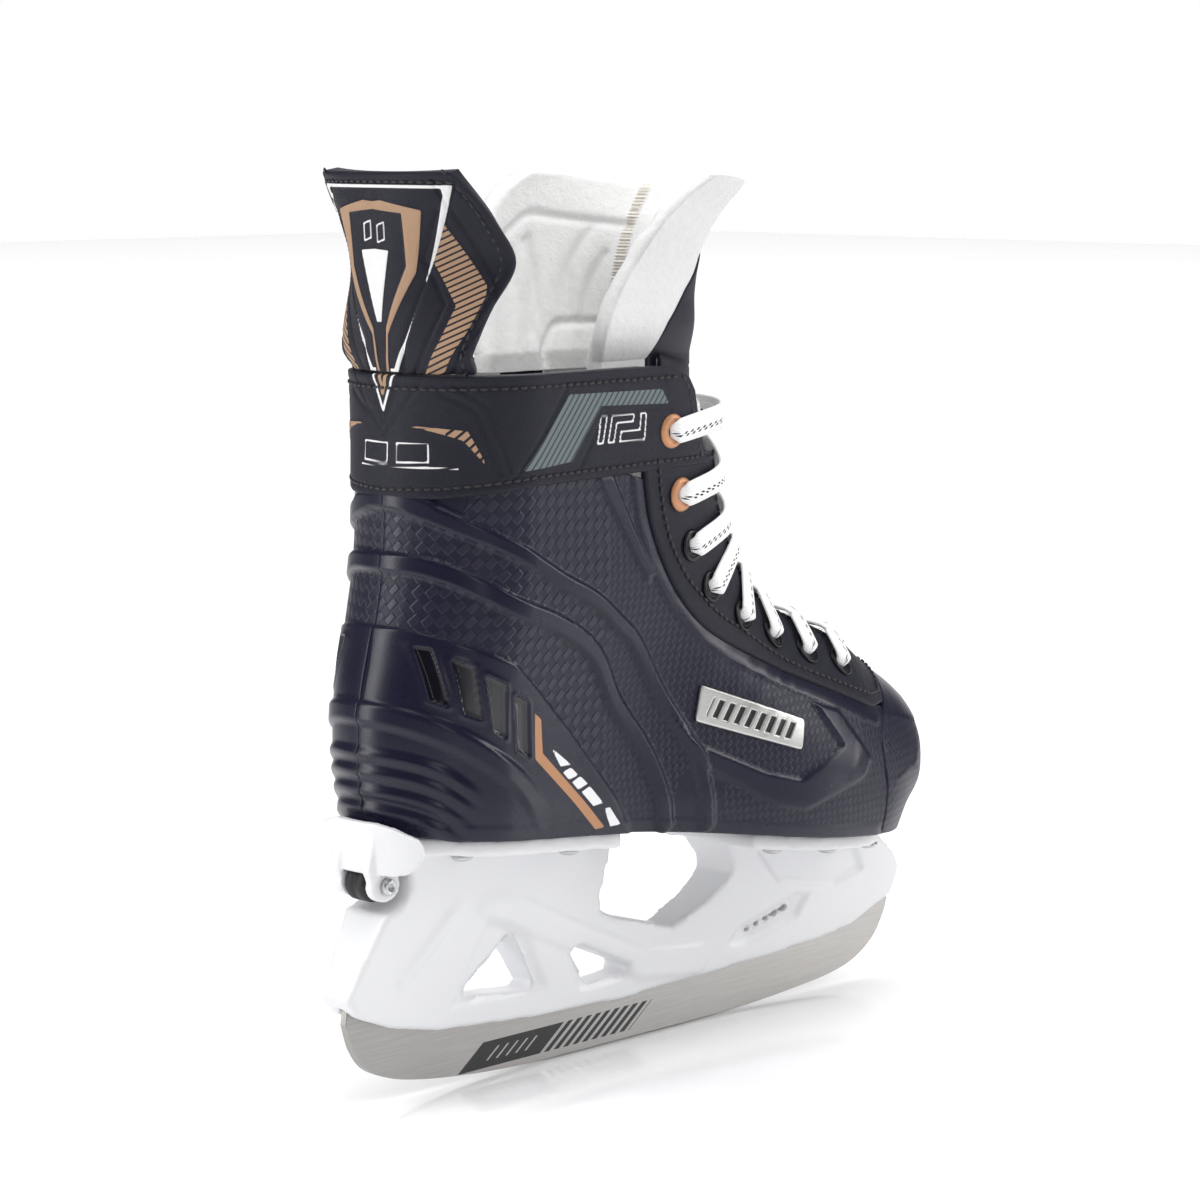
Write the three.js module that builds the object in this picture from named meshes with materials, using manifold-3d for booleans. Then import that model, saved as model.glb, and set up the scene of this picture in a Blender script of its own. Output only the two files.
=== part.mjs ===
// Hockey ice skate, right foot. Millimetres, +X to the toe, +Y to the inner side, +Z up.
// The origin is on the ice under the middle of the skate; the blade edge touches z = 0.
import * as THREE from "three";
import { mergeVertices } from "three/addons/utils/BufferGeometryUtils.js";
import Module from "manifold-3d";

const wasm = await Module();
wasm.setup();

// ---- Driving dimensions -------------------------------------------------------------
const GAP = 0.4; // clearance between pieces that touch
const UPPER_THICKNESS = 3.2; // moulded shell, toe cap, cuff and eyestay
const LINER_THICKNESS = 3.2;
const LACE_CHANNEL = 4.8; // room for the lace under the eyestay
const TONGUE_THICKNESS = 6;
const TONGUE_COVER_THICKNESS = 1.4;
const SOLE_THICKNESS = 4;
const FOOTBED_THICKNESS = 3;
const CUFF_BOTTOM = 208;
const COLLAR_HEIGHT = 241; // top edge of the cuff, and the two flex lines
const LAST_TOP = 312; // the boot form runs on above the collar
const THROAT_END = 116; // toe end of the lace opening
const THROAT_HALF_WIDTH = [ // x, y of the lace opening's edge
  [4, 33],
  [10, 31.5],
  [18, 30],
  [28, 27],
  [43, 20.5],
  [60, 19],
  [100, 19],
];
const CAP_SIDE_X = 103; // toe cap seam at the side of the boot
const CAP_TOP_X = 131; // and on top of the boot
const RUNNER_THICKNESS = 3;
const ROLLER = { x: -110, z: 75, radius: 6, width: 10, pin: 1.7 };
const EYELET_HOLE = 2.4;
const LACE_DIAMETER = 2.4;

// ---- Boot form ----------------------------------------------------------------------
// Side outline of the boot as height and position pairs.
const HEEL_BACK = [ // z, x
  [60, -106],
  [93, -109],
  [116, -112],
  [134, -111],
  [152, -107],
  [176, -102],
  [200, -100.5],
  [230, -99.5],
  [265, -101.5],
  [312, -104],
];
const SOLE_LINE = [ // x, z of the lower edge of the sole
  [-125, 94.5],
  [-74, 88.5],
  [-23, 83.5],
  [5, 80],
  [32, 76],
  [70, 70],
  [98, 66.5],
  [125, 63.5],
  [165, 62],
];
const SOLE_HALF_WIDTH = [ // x, y
  [-125, 33],
  [-75, 33.5],
  [-40, 33],
  [-10, 34],
  [20, 39],
  [50, 45],
  [75, 47],
  [100, 45],
  [125, 40],
  [165, 32],
];
const ANKLE_HALF_WIDTH = [ // z, y
  [60, 34],
  [150, 37],
  [190, 36],
  [240, 38],
  [312, 38],
];
const FRONT_RADIUS = [ // x of the nearest point of the front outline, rounding depth
  [30, 44],
  [55, 54],
  [75, 64],
  [110, 60],
  [135, 48],
  [165, 44],
];
const frontOutline = new THREE.SplineCurve([ // toe underside, toe, instep, shin
  [146, 62.5],
  [154, 71],
  [158, 83],
  [157, 98],
  [151, 109],
  [141, 117],
  [124, 127],
  [108, 139],
  [90, 147.5],
  [70, 156],
  [56, 167],
  [48, 185],
  [44, 205],
  [42, 235],
  [42, LAST_TOP],
].map(([x, z]) => new THREE.Vector2(x, z)));
const frontPoints = frontOutline.getSpacedPoints(60);

// Smooth curve through a table of pairs.
function along(table, t) {
  const last = table.length - 1;
  let i = 0;
  while (i < last - 1 && t > table[i + 1][0]) i++;
  const slope = (k) => {
    const a = table[Math.max(k - 1, 0)];
    const b = table[Math.min(k + 1, last)];
    return (b[1] - a[1]) / (b[0] - a[0]);
  };
  const [x0, y0] = table[i];
  const [x1, y1] = table[i + 1];
  const h = x1 - x0;
  const u = THREE.MathUtils.clamp((t - x0) / h, 0, 1);
  const w = u * u * (3 - 2 * u);
  const bend = h * (slope(i) * u * (1 - u) ** 2 - slope(i + 1) * u * u * (1 - u));
  return y0 + (y1 - y0) * w + bend;
}

function distanceToFront(x, z) {
  const at = { distance: Infinity, x: 0 };
  for (let i = 0; i < frontPoints.length - 1; i++) {
    const a = frontPoints[i];
    const b = frontPoints[i + 1];
    const dx = b.x - a.x;
    const dz = b.y - a.y;
    const u = THREE.MathUtils.clamp(((x - a.x) * dx + (z - a.y) * dz) / (dx * dx + dz * dz), 0, 1);
    const distance = Math.hypot(x - a.x - u * dx, z - a.y - u * dz);
    if (distance < at.distance) Object.assign(at, { distance, x: a.x + u * dx });
  }
  return at;
}

const round = (t) => Math.sqrt(Math.max(0, 1 - (1 - THREE.MathUtils.clamp(t, 0, 1)) ** 2));
const soleZ = (x) => along(SOLE_LINE, x);

// Half width of the boot at (x, z), at a depth below its outer surface. The side view is
// inflated: flat sides that round off into the heel and over the instep and toe.
function halfWidth(x, z, depth = 0) {
  const ankle = THREE.MathUtils.smoothstep(z, 115, 185);
  let width = THREE.MathUtils.lerp(along(SOLE_HALF_WIDTH, x), along(ANKLE_HALF_WIDTH, z), ankle);
  width *= 1 - 0.08 * Math.max(0, 1 - (z - soleZ(x)) / 14) ** 2;
  const heelRadius = 34 - depth;
  const front = distanceToFront(x, z);
  const frontRadius = along(FRONT_RADIUS, front.x) - depth;
  return (width - depth)
    * round((x - along(HEEL_BACK, z) - depth) / heelRadius)
    * round((front.distance - depth) / frontRadius);
}

function surfacePoint(x, z, side, depth = 0) {
  return new THREE.Vector3(x, side * halfWidth(x, z, depth), z);
}

function surfaceNormal(x, z, side) {
  const step = 0.5;
  const dx = (halfWidth(x + step, z) - halfWidth(x - step, z)) / (2 * step);
  const dz = (halfWidth(x, z + step) - halfWidth(x, z - step)) / (2 * step);
  return new THREE.Vector3(-dx, side, -dz).normalize();
}

// ---- Solids -------------------------------------------------------------------------
// Closed skin over a stack of closed loops. Each end is closed by a strip that joins the
// first half of its loop to the second half, so loops run out along one side and back.
function loft(loops) {
  const count = loops[0].length;
  const positions = loops.flat().flatMap((p) => [p.x, p.y, p.z]);
  const index = [];
  for (let i = 0; i < loops.length - 1; i++) {
    for (let j = 0; j < count; j++) {
      const a = i * count + j;
      const b = i * count + ((j + 1) % count);
      index.push(a, b, b + count, a, b + count, a + count);
    }
  }
  const top = (loops.length - 1) * count;
  for (let j = 0; j < count / 2 - 1; j++) {
    const other = count - 1 - j;
    index.push(j + 1, j, other, j + 1, other, other - 1);
    index.push(top + j, top + j + 1, top + other, top + j + 1, top + other - 1, top + other);
  }
  const geometry = new THREE.BufferGeometry();
  geometry.setAttribute("position", new THREE.Float32BufferAttribute(positions, 3));
  geometry.setIndex(index);
  return toManifold(geometry);
}

function toManifold(geometry) {
  const bare = geometry.clone();
  bare.deleteAttribute("normal");
  bare.deleteAttribute("uv");
  const merged = mergeVertices(bare, 1e-4);
  const index = merged.index.array;
  const kept = [];
  for (let i = 0; i < index.length; i += 3) {
    const [a, b, c] = [index[i], index[i + 1], index[i + 2]];
    if (a !== b && b !== c && c !== a) kept.push(a, b, c);
  }
  const solid = new wasm.Manifold(new wasm.Mesh({
    numProp: 3,
    vertProperties: new Float32Array(merged.attributes.position.array),
    triVerts: new Uint32Array(kept),
  }));
  if (solid.volume() > 0) return solid;
  const flipped = [];
  for (let i = 0; i < kept.length; i += 3) flipped.push(kept[i], kept[i + 2], kept[i + 1]);
  return new wasm.Manifold(new wasm.Mesh({
    numProp: 3,
    vertProperties: new Float32Array(merged.attributes.position.array),
    triVerts: new Uint32Array(flipped),
  }));
}

function toGeometry(solid) {
  const mesh = solid.getMesh();
  const geometry = new THREE.BufferGeometry();
  const positions = [];
  for (let i = 0; i < mesh.numVert; i++) {
    for (let k = 0; k < 3; k++) positions.push(mesh.vertProperties[i * mesh.numProp + k]);
  }
  geometry.setAttribute("position", new THREE.Float32BufferAttribute(positions, 3));
  geometry.setIndex(Array.from(mesh.triVerts));
  geometry.computeVertexNormals();
  return geometry;
}

const vector2 = ([x, y]) => new THREE.Vector2(x, y);

// Outline in the side view (x, z), thick in Y.
function sideExtrusion(points, yMin, yMax, holes = []) {
  const shape = new THREE.Shape(points.map(vector2));
  shape.holes = holes.map((hole) => new THREE.Path(hole.map(vector2)));
  const geometry = new THREE.ExtrudeGeometry(shape, { depth: yMax - yMin, bevelEnabled: false });
  geometry.rotateX(Math.PI / 2);
  geometry.translate(0, yMax, 0);
  return geometry;
}

// Outline in plan (x, y), thick in Z.
function planExtrusion(points, zMin, zMax) {
  const shape = new THREE.Shape(points.map(vector2));
  const geometry = new THREE.ExtrudeGeometry(shape, { depth: zMax - zMin, bevelEnabled: false });
  geometry.translate(0, 0, zMin);
  return geometry;
}

function box(xMin, xMax, yMin, yMax, zMin, zMax) {
  const geometry = new THREE.BoxGeometry(xMax - xMin, yMax - yMin, zMax - zMin);
  geometry.translate((xMin + xMax) / 2, (yMin + yMax) / 2, (zMin + zMax) / 2);
  return toManifold(geometry);
}

function cylinder(radius, from, to, sides = 12) {
  const axis = new THREE.Vector3().subVectors(to, from);
  const geometry = new THREE.CylinderGeometry(radius, radius, axis.length(), sides);
  const up = new THREE.Vector3(0, 1, 0);
  geometry.applyQuaternion(new THREE.Quaternion().setFromUnitVectors(up, axis.clone().normalize()));
  geometry.translate(...new THREE.Vector3().addVectors(from, to).multiplyScalar(0.5));
  return toManifold(geometry);
}

const vec = (x, y, z) => new THREE.Vector3(x, y, z);
const rightHalf = box(-200, 250, -100, -GAP / 2, -20, 400);
const leftHalf = box(-200, 250, GAP / 2, 100, -20, 400);

// The boot form at a depth below its surface. Rows run from the heel to the front outline
// and fan out from the sole to the top. Inner forms run past both ends, to cut right through.
function lastForm(depth) {
  const rows = 17;
  const columns = 14;
  const loops = [];
  for (let i = 0; i <= rows; i++) {
    const v = i / rows;
    const tangent = frontOutline.getTangentAt(v);
    const edge = frontOutline.getPointAt(v);
    const front = { x: edge.x - tangent.y * depth, z: edge.y + tangent.x * depth };
    const backZ = THREE.MathUtils.lerp(93, LAST_TOP, v);
    const back = { x: along(HEEL_BACK, backZ) + depth, z: backZ };
    const side = (sign) => Array.from({ length: columns + 1 }, (_, j) => {
      const u = (1 - Math.cos((Math.PI * j) / columns)) / 2;
      const x = THREE.MathUtils.lerp(back.x, front.x, u);
      const straight = THREE.MathUtils.lerp(back.z, front.z, u);
      const sag = soleZ(x) - THREE.MathUtils.lerp(93, 62.5, u);
      const z = straight + sag * Math.max(0, 1 - v / 0.3);
      const y = j === 0 || j === columns ? 0 : halfWidth(x, z, depth);
      return vec(x, sign * Math.max(y, 0.02 * (j > 0 && j < columns)), z);
    });
    loops.push([...side(1), ...side(-1).reverse()]);
  }
  if (depth > 0) {
    loops.unshift(loops[0].map((p) => vec(p.x, p.y, p.z - 20)));
    loops.push(loops.at(-1).map((p) => vec(p.x, p.y, p.z + 20)));
  }
  return loft(loops);
}

// Flat loop around the boot at the sole, at a depth inside its edge and a height over it.
function soleLoop(depth, height, from = -130, to = 170) {
  const columns = 18;
  const start = Math.max(from, along(HEEL_BACK, 93) + depth + 0.3);
  const end = Math.min(to, 150 - depth);
  const side = (sign) => Array.from({ length: columns + 1 }, (_, j) => {
    const u = (1 - Math.cos((Math.PI * j) / columns)) / 2;
    const x = THREE.MathUtils.lerp(start, end, u);
    const z = soleZ(x);
    return vec(x, sign * Math.max(halfWidth(x, z + 1, depth), 1), z + height);
  });
  return [...side(1), ...side(-1).reverse()];
}

const outer = lastForm(0);
const upperInside = lastForm(UPPER_THICKNESS);
const linerInside = lastForm(UPPER_THICKNESS + GAP + LINER_THICKNESS);
const wide = (p) => vec(p.x, p.y * 1.3, p.z);
const underSole = (height) => {
  const high = soleLoop(-6, height, -125, 175).map(wide);
  return loft([high.map((p) => vec(p.x, p.y, 0)), high]);
};

// ---- Upper --------------------------------------------------------------------------
const capRegion = (shift) => {
  const seam = Array.from({ length: 13 }, (_, i) => {
    const y = -60 + 10 * i;
    const x = CAP_SIDE_X + (CAP_TOP_X - CAP_SIDE_X) * Math.max(0, 1 - (y / 42) ** 2);
    return [x + shift, y];
  });
  return toManifold(planExtrusion([...seam, [200, 60], [200, -60]], 40, 150));
};
const throatHalf = (x) => along(THROAT_HALF_WIDTH, x);
const toeRadius = throatHalf(100);
const throatRound = Array.from({ length: 7 }, (_, i) => {
  const angle = Math.PI * (i / 6 - 0.5);
  return [THROAT_END - toeRadius * (1 - Math.cos(angle)), toeRadius * Math.sin(angle)];
});
const throatSide = THROAT_HALF_WIDTH.slice(0, -1);
const throat = toManifold(planExtrusion([
  ...throatSide.map(([x, y]) => [x, -y]),
  ...throatRound,
  ...throatSide.toReversed(),
], 112, 340));
const eyestaySeam = [
  [-18, 212],
  [-14, 191],
  [-8, 176],
  [1, 162],
  [15, 149],
  [41, 136],
  [68, 125],
  [103, 112],
  [140, 105],
];
const eyestayRegion = (shift) => toManifold(sideExtrusion([
  ...eyestaySeam.map(([x, z]) => [x + shift, z + shift]),
  [170, 106],
  [170, 212],
], -80, 80));

const upper = outer.subtract(upperInside).subtract(underSole(SOLE_THICKNESS + GAP));
const toeCap = upper.intersect(capRegion(0));
const behindCap = upper.subtract(capRegion(-GAP)).subtract(throat);
const lowerUpper = behindCap.intersect(box(-200, 200, -90, 90, 0, CUFF_BOTTOM - GAP));
const cuffOutline = [
  [-140, CUFF_BOTTOM],
  [60, CUFF_BOTTOM],
  [12, CUFF_BOTTOM + 18],
  [7, COLLAR_HEIGHT - 6],
  [1, COLLAR_HEIGHT],
  [-140, COLLAR_HEIGHT],
];

// Eyelet places in the side view, top pair first.
const EYELETS = [
  [-5, 219],
  [1, 197],
  [7, 179],
  [17, 164],
  [35, 151.5],
  [53, 143],
  [72, 135],
  [91, 128.5],
];
const eyelets = [];
for (const side of [-1, 1]) {
  EYELETS.forEach(([x, z], i) => {
    eyelets.push({
      name: `eyelet_${side < 0 ? "right" : "left"}_${i + 1}`,
      side,
      row: i,
      at: surfacePoint(x, z, side),
      normal: surfaceNormal(x, z, side),
    });
  });
}
const eyeletCuts = eyelets.map(({ at, normal }) => cylinder(
  EYELET_HOLE + 1 + GAP,
  at.clone().addScaledVector(normal, -8),
  at.clone().addScaledVector(normal, 5),
  8,
));
const cutEyelets = (solid) => eyeletCuts.reduce((result, cut) => result.subtract(cut), solid);

const cuff = cutEyelets(behindCap.intersect(toManifold(sideExtrusion(cuffOutline, -80, 80))));
const shell = lowerUpper.subtract(eyestayRegion(-GAP));
const eyestay = cutEyelets(lowerUpper.intersect(eyestayRegion(0)));
const linerZone = box(-200, 98, -90, 90, 0, COLLAR_HEIGHT);
const laceZone = eyestayRegion(-8).add(box(-20, 60, -80, 80, 200, COLLAR_HEIGHT + 20));
const liner = upperInside
  .intersect(lastForm(UPPER_THICKNESS + GAP))
  .subtract(linerInside)
  .subtract(underSole(SOLE_THICKNESS + GAP))
  .intersect(linerZone)
  .subtract(laceZone);

// ---- Tendon guard -------------------------------------------------------------------
// Levels: height, half width, x at the middle of the back, x at the side edges.
const GUARD_LEVELS = [
  [COLLAR_HEIGHT + GAP, 29, -99.5, -87],
  [247, 30, -100, -91],
  [254, 32, -100.5, -89],
  [263, 34, -101.5, -84],
  [277, 36.5, -102.5, -76],
  [290, 36.5, -103.3, -85],
  [298, 34.5, -104, -92],
  [306, 30.5, -104.5, -99],
];
const GUARD_THICKNESS = 5;
const guard = loft(GUARD_LEVELS.map(([z, half, middle, edge]) => {
  const across = (depth) => Array.from({ length: 13 }, (_, i) => {
    const u = i / 6 - 1;
    const x = middle + (edge - middle) * Math.abs(u) ** 2.2;
    return vec(x + depth * (1 - 0.2 * u * u), u * (half - depth * 0.35), z);
  });
  return [...across(0), ...across(GUARD_THICKNESS).reverse()];
}));

// ---- Tongue -------------------------------------------------------------------------
const coverDepth = UPPER_THICKNESS + LACE_CHANNEL;
const feltDepth = coverDepth + TONGUE_COVER_THICKNESS + GAP;
const tongueZone = (rear) => toManifold(sideExtrusion([
  [rear, COLLAR_HEIGHT + 2],
  [rear + 4, 214],
  [rear + 14, 185],
  [rear + 30, 160],
  [rear + 60, 138],
  [112, 112],
  [122, 118],
  [110, 160],
  [60, COLLAR_HEIGHT + 2],
], -60, 60)).intersect(box(-60, 130, -60, 60, 100, COLLAR_HEIGHT + 2));
const tongueFelt = lastForm(feltDepth)
  .subtract(lastForm(feltDepth + TONGUE_THICKNESS))
  .intersect(tongueZone(-34));
const coverZone = toManifold(planExtrusion([
  [8, -17],
  [104, -17],
  [112, -9],
  [112, 9],
  [104, 17],
  [8, 17],
], 110, COLLAR_HEIGHT + 2));
const tongueCover = lastForm(coverDepth).subtract(lastForm(coverDepth + TONGUE_COVER_THICKNESS))
  .intersect(coverZone);

// Upper half: height and front x, then half width and rear edge of the outer wing and of
// the inner wing, which flares out more.
const FLAP_LEVELS = [
  [COLLAR_HEIGHT + 2 + GAP, 33, 27, -29, 27, -33],
  [253, 33, 31, -30, 32, -31],
  [264, 32, 31.5, -25, 37, -28],
  [276, 33, 32.5, -17, 41, -23],
  [288, 37, 36, -9, 44, -16],
  [298, 42, 38.5, 2, 45.5, -7],
  [305, 46, 41, 13, 45.5, 6],
];
const flapAt = ([z, front, outerHalf, outerRear, innerHalf, innerRear], angle, depth) => {
  const c = Math.cos(angle);
  const s = Math.sin(angle);
  const half = s < 0 ? outerHalf : innerHalf;
  const rear = s < 0 ? outerRear : innerRear;
  const reach = front - rear;
  return vec(
    rear + (reach - depth) * Math.sign(c) * Math.abs(c) ** 0.7,
    (half - depth) * Math.sign(s) * Math.abs(s) ** 0.85,
    z - (z > 290 ? 5 * c ** 2 : 0),
  );
};
const flap = (levels, spread, depthIn, depthOut, count) => loft(levels.map((level) => {
  const across = (depth) => Array.from({ length: count + 1 }, (_, i) => (
    flapAt(level, spread * ((2 * i) / count - 1), depth)));
  return [...across(depthOut), ...across(depthIn).reverse()];
}));
const flapFelt = flap(FLAP_LEVELS, Math.PI / 2, 7, 0, 18);
const flapCover = flap(FLAP_LEVELS.slice(0, 4), 0.95, -GAP, -GAP - TONGUE_COVER_THICKNESS, 10);

// ---- Sole ---------------------------------------------------------------------------
const RIVETS = [ // heel rivets, then front rivets
  [-84, 18],
  [-36, 20],
  [64, 24],
  [92, 26],
  [122, 20],
];
const rivetPlaces = [];
for (const side of [-1, 1]) {
  RIVETS.forEach(([x, y], i) => rivetPlaces.push({
    name: `rivet_${side < 0 ? "right" : "left"}_${i + 1}`,
    at: vec(x, side * y, soleZ(x)),
  }));
}
const rivetCuts = rivetPlaces.map(({ at }) => cylinder(
  2 + GAP,
  vec(at.x, at.y, at.z - 12),
  vec(at.x, at.y, at.z + 8),
  10,
));
const cutRivets = (solid) => rivetCuts.reduce((result, cut) => result.subtract(cut), solid);
const outsole = cutRivets(loft([soleLoop(0, 0), soleLoop(0, SOLE_THICKNESS)]));
const footbedDepth = UPPER_THICKNESS + LINER_THICKNESS + 3 * GAP;
const footbed = loft([
  soleLoop(footbedDepth, SOLE_THICKNESS + 3),
  soleLoop(footbedDepth, SOLE_THICKNESS + 3 + FOOTBED_THICKNESS),
]);

// ---- Blade holder -------------------------------------------------------------------
const HOLDER_LOWER_EDGE = [
  [-125, 38],
  [-120, 32],
  [-104, 25.5],
  [-83, 21],
  [-40, 17.5],
  [6, 16],
  [41, 17],
  [82, 18],
  [114, 20],
  [132, 22.5],
  [153, 31],
];
const DECK_THICKNESS = 6;
const deckUnder = (x) => soleZ(x) - GAP - DECK_THICKNESS;
const holderOutline = [
  ...HOLDER_LOWER_EDGE,
  [157, 40],
  [152, 48],
  [138, deckUnder(138) + 2],
  [52, deckUnder(52) + 2],
  [59, 58],
  [59, 53],
  [47, 45],
  [30, 38.5],
  [-2, 47.5],
  [-8, 51],
  [-9, 56],
  [-6, deckUnder(-14) + 2],
  [-20, deckUnder(-20) + 2],
  [-101, deckUnder(-101) + 2],
  [-112, 62],
  [-119, 50],
];
const rearWindow = [
  [-53, 49],
  [-50, 49],
  [-38, 29.5],
  [-40, 27.5],
  [-71, 30.5],
  [-72.5, 33],
];
const middleWindow = [
  [-22, 39],
  [-19, 40],
  [9, 28],
  [9, 25.5],
  [-10, 24],
  [-13, 25.5],
];
const frontSlot = [
  [64, 28],
  [68, 30],
  [94, 37],
  [97, 37],
  [95, 34.5],
  [68, 27.6],
];
const towers = sideExtrusion(holderOutline, -1, 1, [rearWindow, middleWindow, frontSlot]);
const towerPlaces = towers.attributes.position;
const towerHalf = [ // z, half thickness
  [15, 5.2],
  [32, 6.5],
  [60, 10],
  [90, 15],
];
for (let i = 0; i < towerPlaces.count; i++) {
  towerPlaces.setY(i, towerPlaces.getY(i) * along(towerHalf, towerPlaces.getZ(i)));
}
const deckLoop = (depth, from, to, height) => soleLoop(depth, height, from, to);
const heelDeck = loft([
  deckLoop(3, -130, -18, -GAP - DECK_THICKNESS),
  deckLoop(3, -130, -18, -GAP),
]);
const frontDeck = loft([
  deckLoop(8, 44, 146, -GAP - DECK_THICKNESS),
  deckLoop(8, 44, 146, -GAP),
]);
const RUNNER_EDGE = [
  [-121, 29],
  [-118, 20],
  [-112, 12.5],
  [-101, 7.5],
  [-87, 4.5],
  [-68, 2.2],
  [-45, 0.6],
  [-15, 0],
  [45, 0],
  [75, 0.5],
  [100, 2],
  [122, 4],
  [137, 7.5],
  [148, 14],
  [154, 22],
  [156.5, 28],
];
const RUNNER_DEPTH = 5.5; // how far the runner goes up into the holder
const runnerTop = HOLDER_LOWER_EDGE.slice(1, -1).map(([x, z]) => [x, z + RUNNER_DEPTH]).reverse();
const runnerOutline = [...RUNNER_EDGE, [150, 34], ...runnerTop];
const runnerHalf = RUNNER_THICKNESS / 2;
const runner = toManifold(sideExtrusion(runnerOutline, -runnerHalf, runnerHalf));
const slotOutline = [
  [-121.6, 8],
  [160, 8],
  [160, 29],
  [151.5, 35],
  ...runnerTop.map(([x, z]) => [x, z + GAP]),
  [-121.6, 38.2],
];
const runnerSlot = toManifold(sideExtrusion(slotOutline, -runnerHalf - GAP, runnerHalf + GAP));
const rollerRecess = cylinder(9.5, vec(ROLLER.x, -30, ROLLER.z), vec(ROLLER.x, 30, ROLLER.z), 20);
const holder = cutRivets(toManifold(towers).add(heelDeck).add(frontDeck)
  .subtract(runnerSlot)
  .subtract(rollerRecess));

// ---- Heel bracket and its roller ----------------------------------------------------
// The band round the heel ends in a rounded lobe on each side: heights with half angles.
const BRACKET_SPREAD = [
  [79.4, 25],
  [80.4, 32],
  [82.6, 37],
  [86, 40],
  [89.5, 40],
  [92, 37],
  [93.4, 31],
  [95.2, 24],
  [96.4, 14],
];
const heelCentre = -78;
const bracketLoop = ([z, degrees]) => {
  const spread = THREE.MathUtils.degToRad(degrees);
  const across = (radius) => Array.from({ length: 11 }, (_, i) => {
    const angle = spread * (i / 5 - 1);
    return vec(heelCentre - radius * Math.cos(angle), radius * Math.sin(angle), z);
  });
  return [...across(38.5), ...across(35).reverse()];
};
const earOutline = [];
for (let i = 0; i <= 12; i++) {
  const angle = Math.PI * (0.9 + (i / 12) * 1.15);
  earOutline.push([ROLLER.x + 6.2 * Math.cos(angle), ROLLER.z + 5.3 * Math.sin(angle)]);
}
earOutline.push([-104.4, 80], [-103, 88.2], [-113, 91], [-115.6, 91], [-117.4, 81]);
const ear = (y) => toManifold(sideExtrusion(earOutline, y - 1.9, y + 1.9));
const bracket = loft(BRACKET_SPREAD.map(bracketLoop))
  .add(ear(-7.6))
  .add(ear(7.6))
  .subtract(cylinder(ROLLER.radius + 1, vec(ROLLER.x, -5.7, ROLLER.z), vec(ROLLER.x, 5.7, ROLLER.z), 24))
  .subtract(heelDeck)
  .subtract(holder)
  .subtract(cylinder(ROLLER.pin + GAP, vec(ROLLER.x, -20, ROLLER.z), vec(ROLLER.x, 20, ROLLER.z)))
  .subtract(lastForm(-1));

function turned(profile, sides) {
  const points = profile.map(([radius, y]) => new THREE.Vector2(radius, y));
  return new THREE.LatheGeometry(points, sides);
}
const rollerHalf = ROLLER.width / 2;
const rollerShape = turned([
  [ROLLER.pin + GAP, -rollerHalf],
  [ROLLER.radius - 1.2, -rollerHalf],
  [ROLLER.radius, -rollerHalf + 1.2],
  [ROLLER.radius, rollerHalf - 1.2],
  [ROLLER.radius - 1.2, rollerHalf],
  [ROLLER.pin + GAP, rollerHalf],
  [ROLLER.pin + GAP, -rollerHalf],
], 20);
const screwShape = turned([
  [0, -12],
  [2.2, -12],
  [2.8, -11.2],
  [2.8, -9.8],
  [ROLLER.pin, -9.8],
  [ROLLER.pin, 12.5],
  [0, 12.5],
], 14);
const nutShape = turned([
  [ROLLER.pin + GAP, 9.8],
  [3.6, 9.8],
  [3.6, 12.2],
  [ROLLER.pin + GAP, 12.2],
  [ROLLER.pin + GAP, 9.8],
], 6);

// ---- Small pieces -------------------------------------------------------------------
const rivetShape = turned([
  [0, -DECK_THICKNESS - GAP - 2.4],
  [3.4, -DECK_THICKNESS - GAP - 2],
  [3.8, -DECK_THICKNESS - GAP - 1],
  [2, -DECK_THICKNESS - GAP - 1],
  [2, SOLE_THICKNESS + 1],
  [3.6, SOLE_THICKNESS + 1],
  [3.2, SOLE_THICKNESS + 1.8],
  [0, SOLE_THICKNESS + 2],
], 8);
rivetShape.rotateX(Math.PI / 2);

const eyeletShape = (flange) => turned([
  [EYELET_HOLE, -UPPER_THICKNESS],
  [EYELET_HOLE + 0.7, -UPPER_THICKNESS],
  [EYELET_HOLE + 0.7, 1.05],
  [flange, 1.05],
  [flange - 0.4, 1.5],
  [EYELET_HOLE, 1.5],
  [EYELET_HOLE, -UPPER_THICKNESS],
], 8);

const badgeOutline = [
  [9, 129],
  [12, 131],
  [56, 114],
  [58, 111],
  [53, 105],
  [49, 104],
  [8, 119],
  [7, 122],
];
const badge = lastForm(-1.4)
  .subtract(lastForm(-GAP))
  .intersect(toManifold(sideExtrusion(badgeOutline, -80, 80)));

// ---- Lace ---------------------------------------------------------------------------
// The lace comes up through an eyelet, goes over the edge of the eyestay and across the
// tongue, dives under the far edge, and comes up through the next eyelet there.
const LACE_OVER = 3.5; // lace axis over the surface
const LACE_UNDER = -UPPER_THICKNESS - LACE_CHANNEL / 2;

// From a place in the side view, the way to the front outline is halved until the boot is
// as narrow as a share of the lace opening. The lace axis passes there at a height over the
// surface, on the side that the share's sign gives.
function pointAcross(x, z, share, height) {
  const far = (p) => Math.hypot(p.x - x, p.y - z);
  const nearest = frontPoints.reduce((best, p) => (far(p) < far(best) ? p : best));
  let low = 0;
  let high = 1;
  for (let i = 0; i < 20; i++) {
    const t = (low + high) / 2;
    const alongX = THREE.MathUtils.lerp(x, nearest.x, t);
    const alongZ = THREE.MathUtils.lerp(z, nearest.y, t);
    if (halfWidth(alongX, alongZ) > Math.abs(share) * throatHalf(alongX)) low = t;
    else high = t;
  }
  const atX = THREE.MathUtils.lerp(x, nearest.x, low);
  const atZ = THREE.MathUtils.lerp(z, nearest.y, low);
  const side = Math.sign(share);
  return surfacePoint(atX, atZ, side).addScaledVector(surfaceNormal(atX, atZ, side), height);
}

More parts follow.
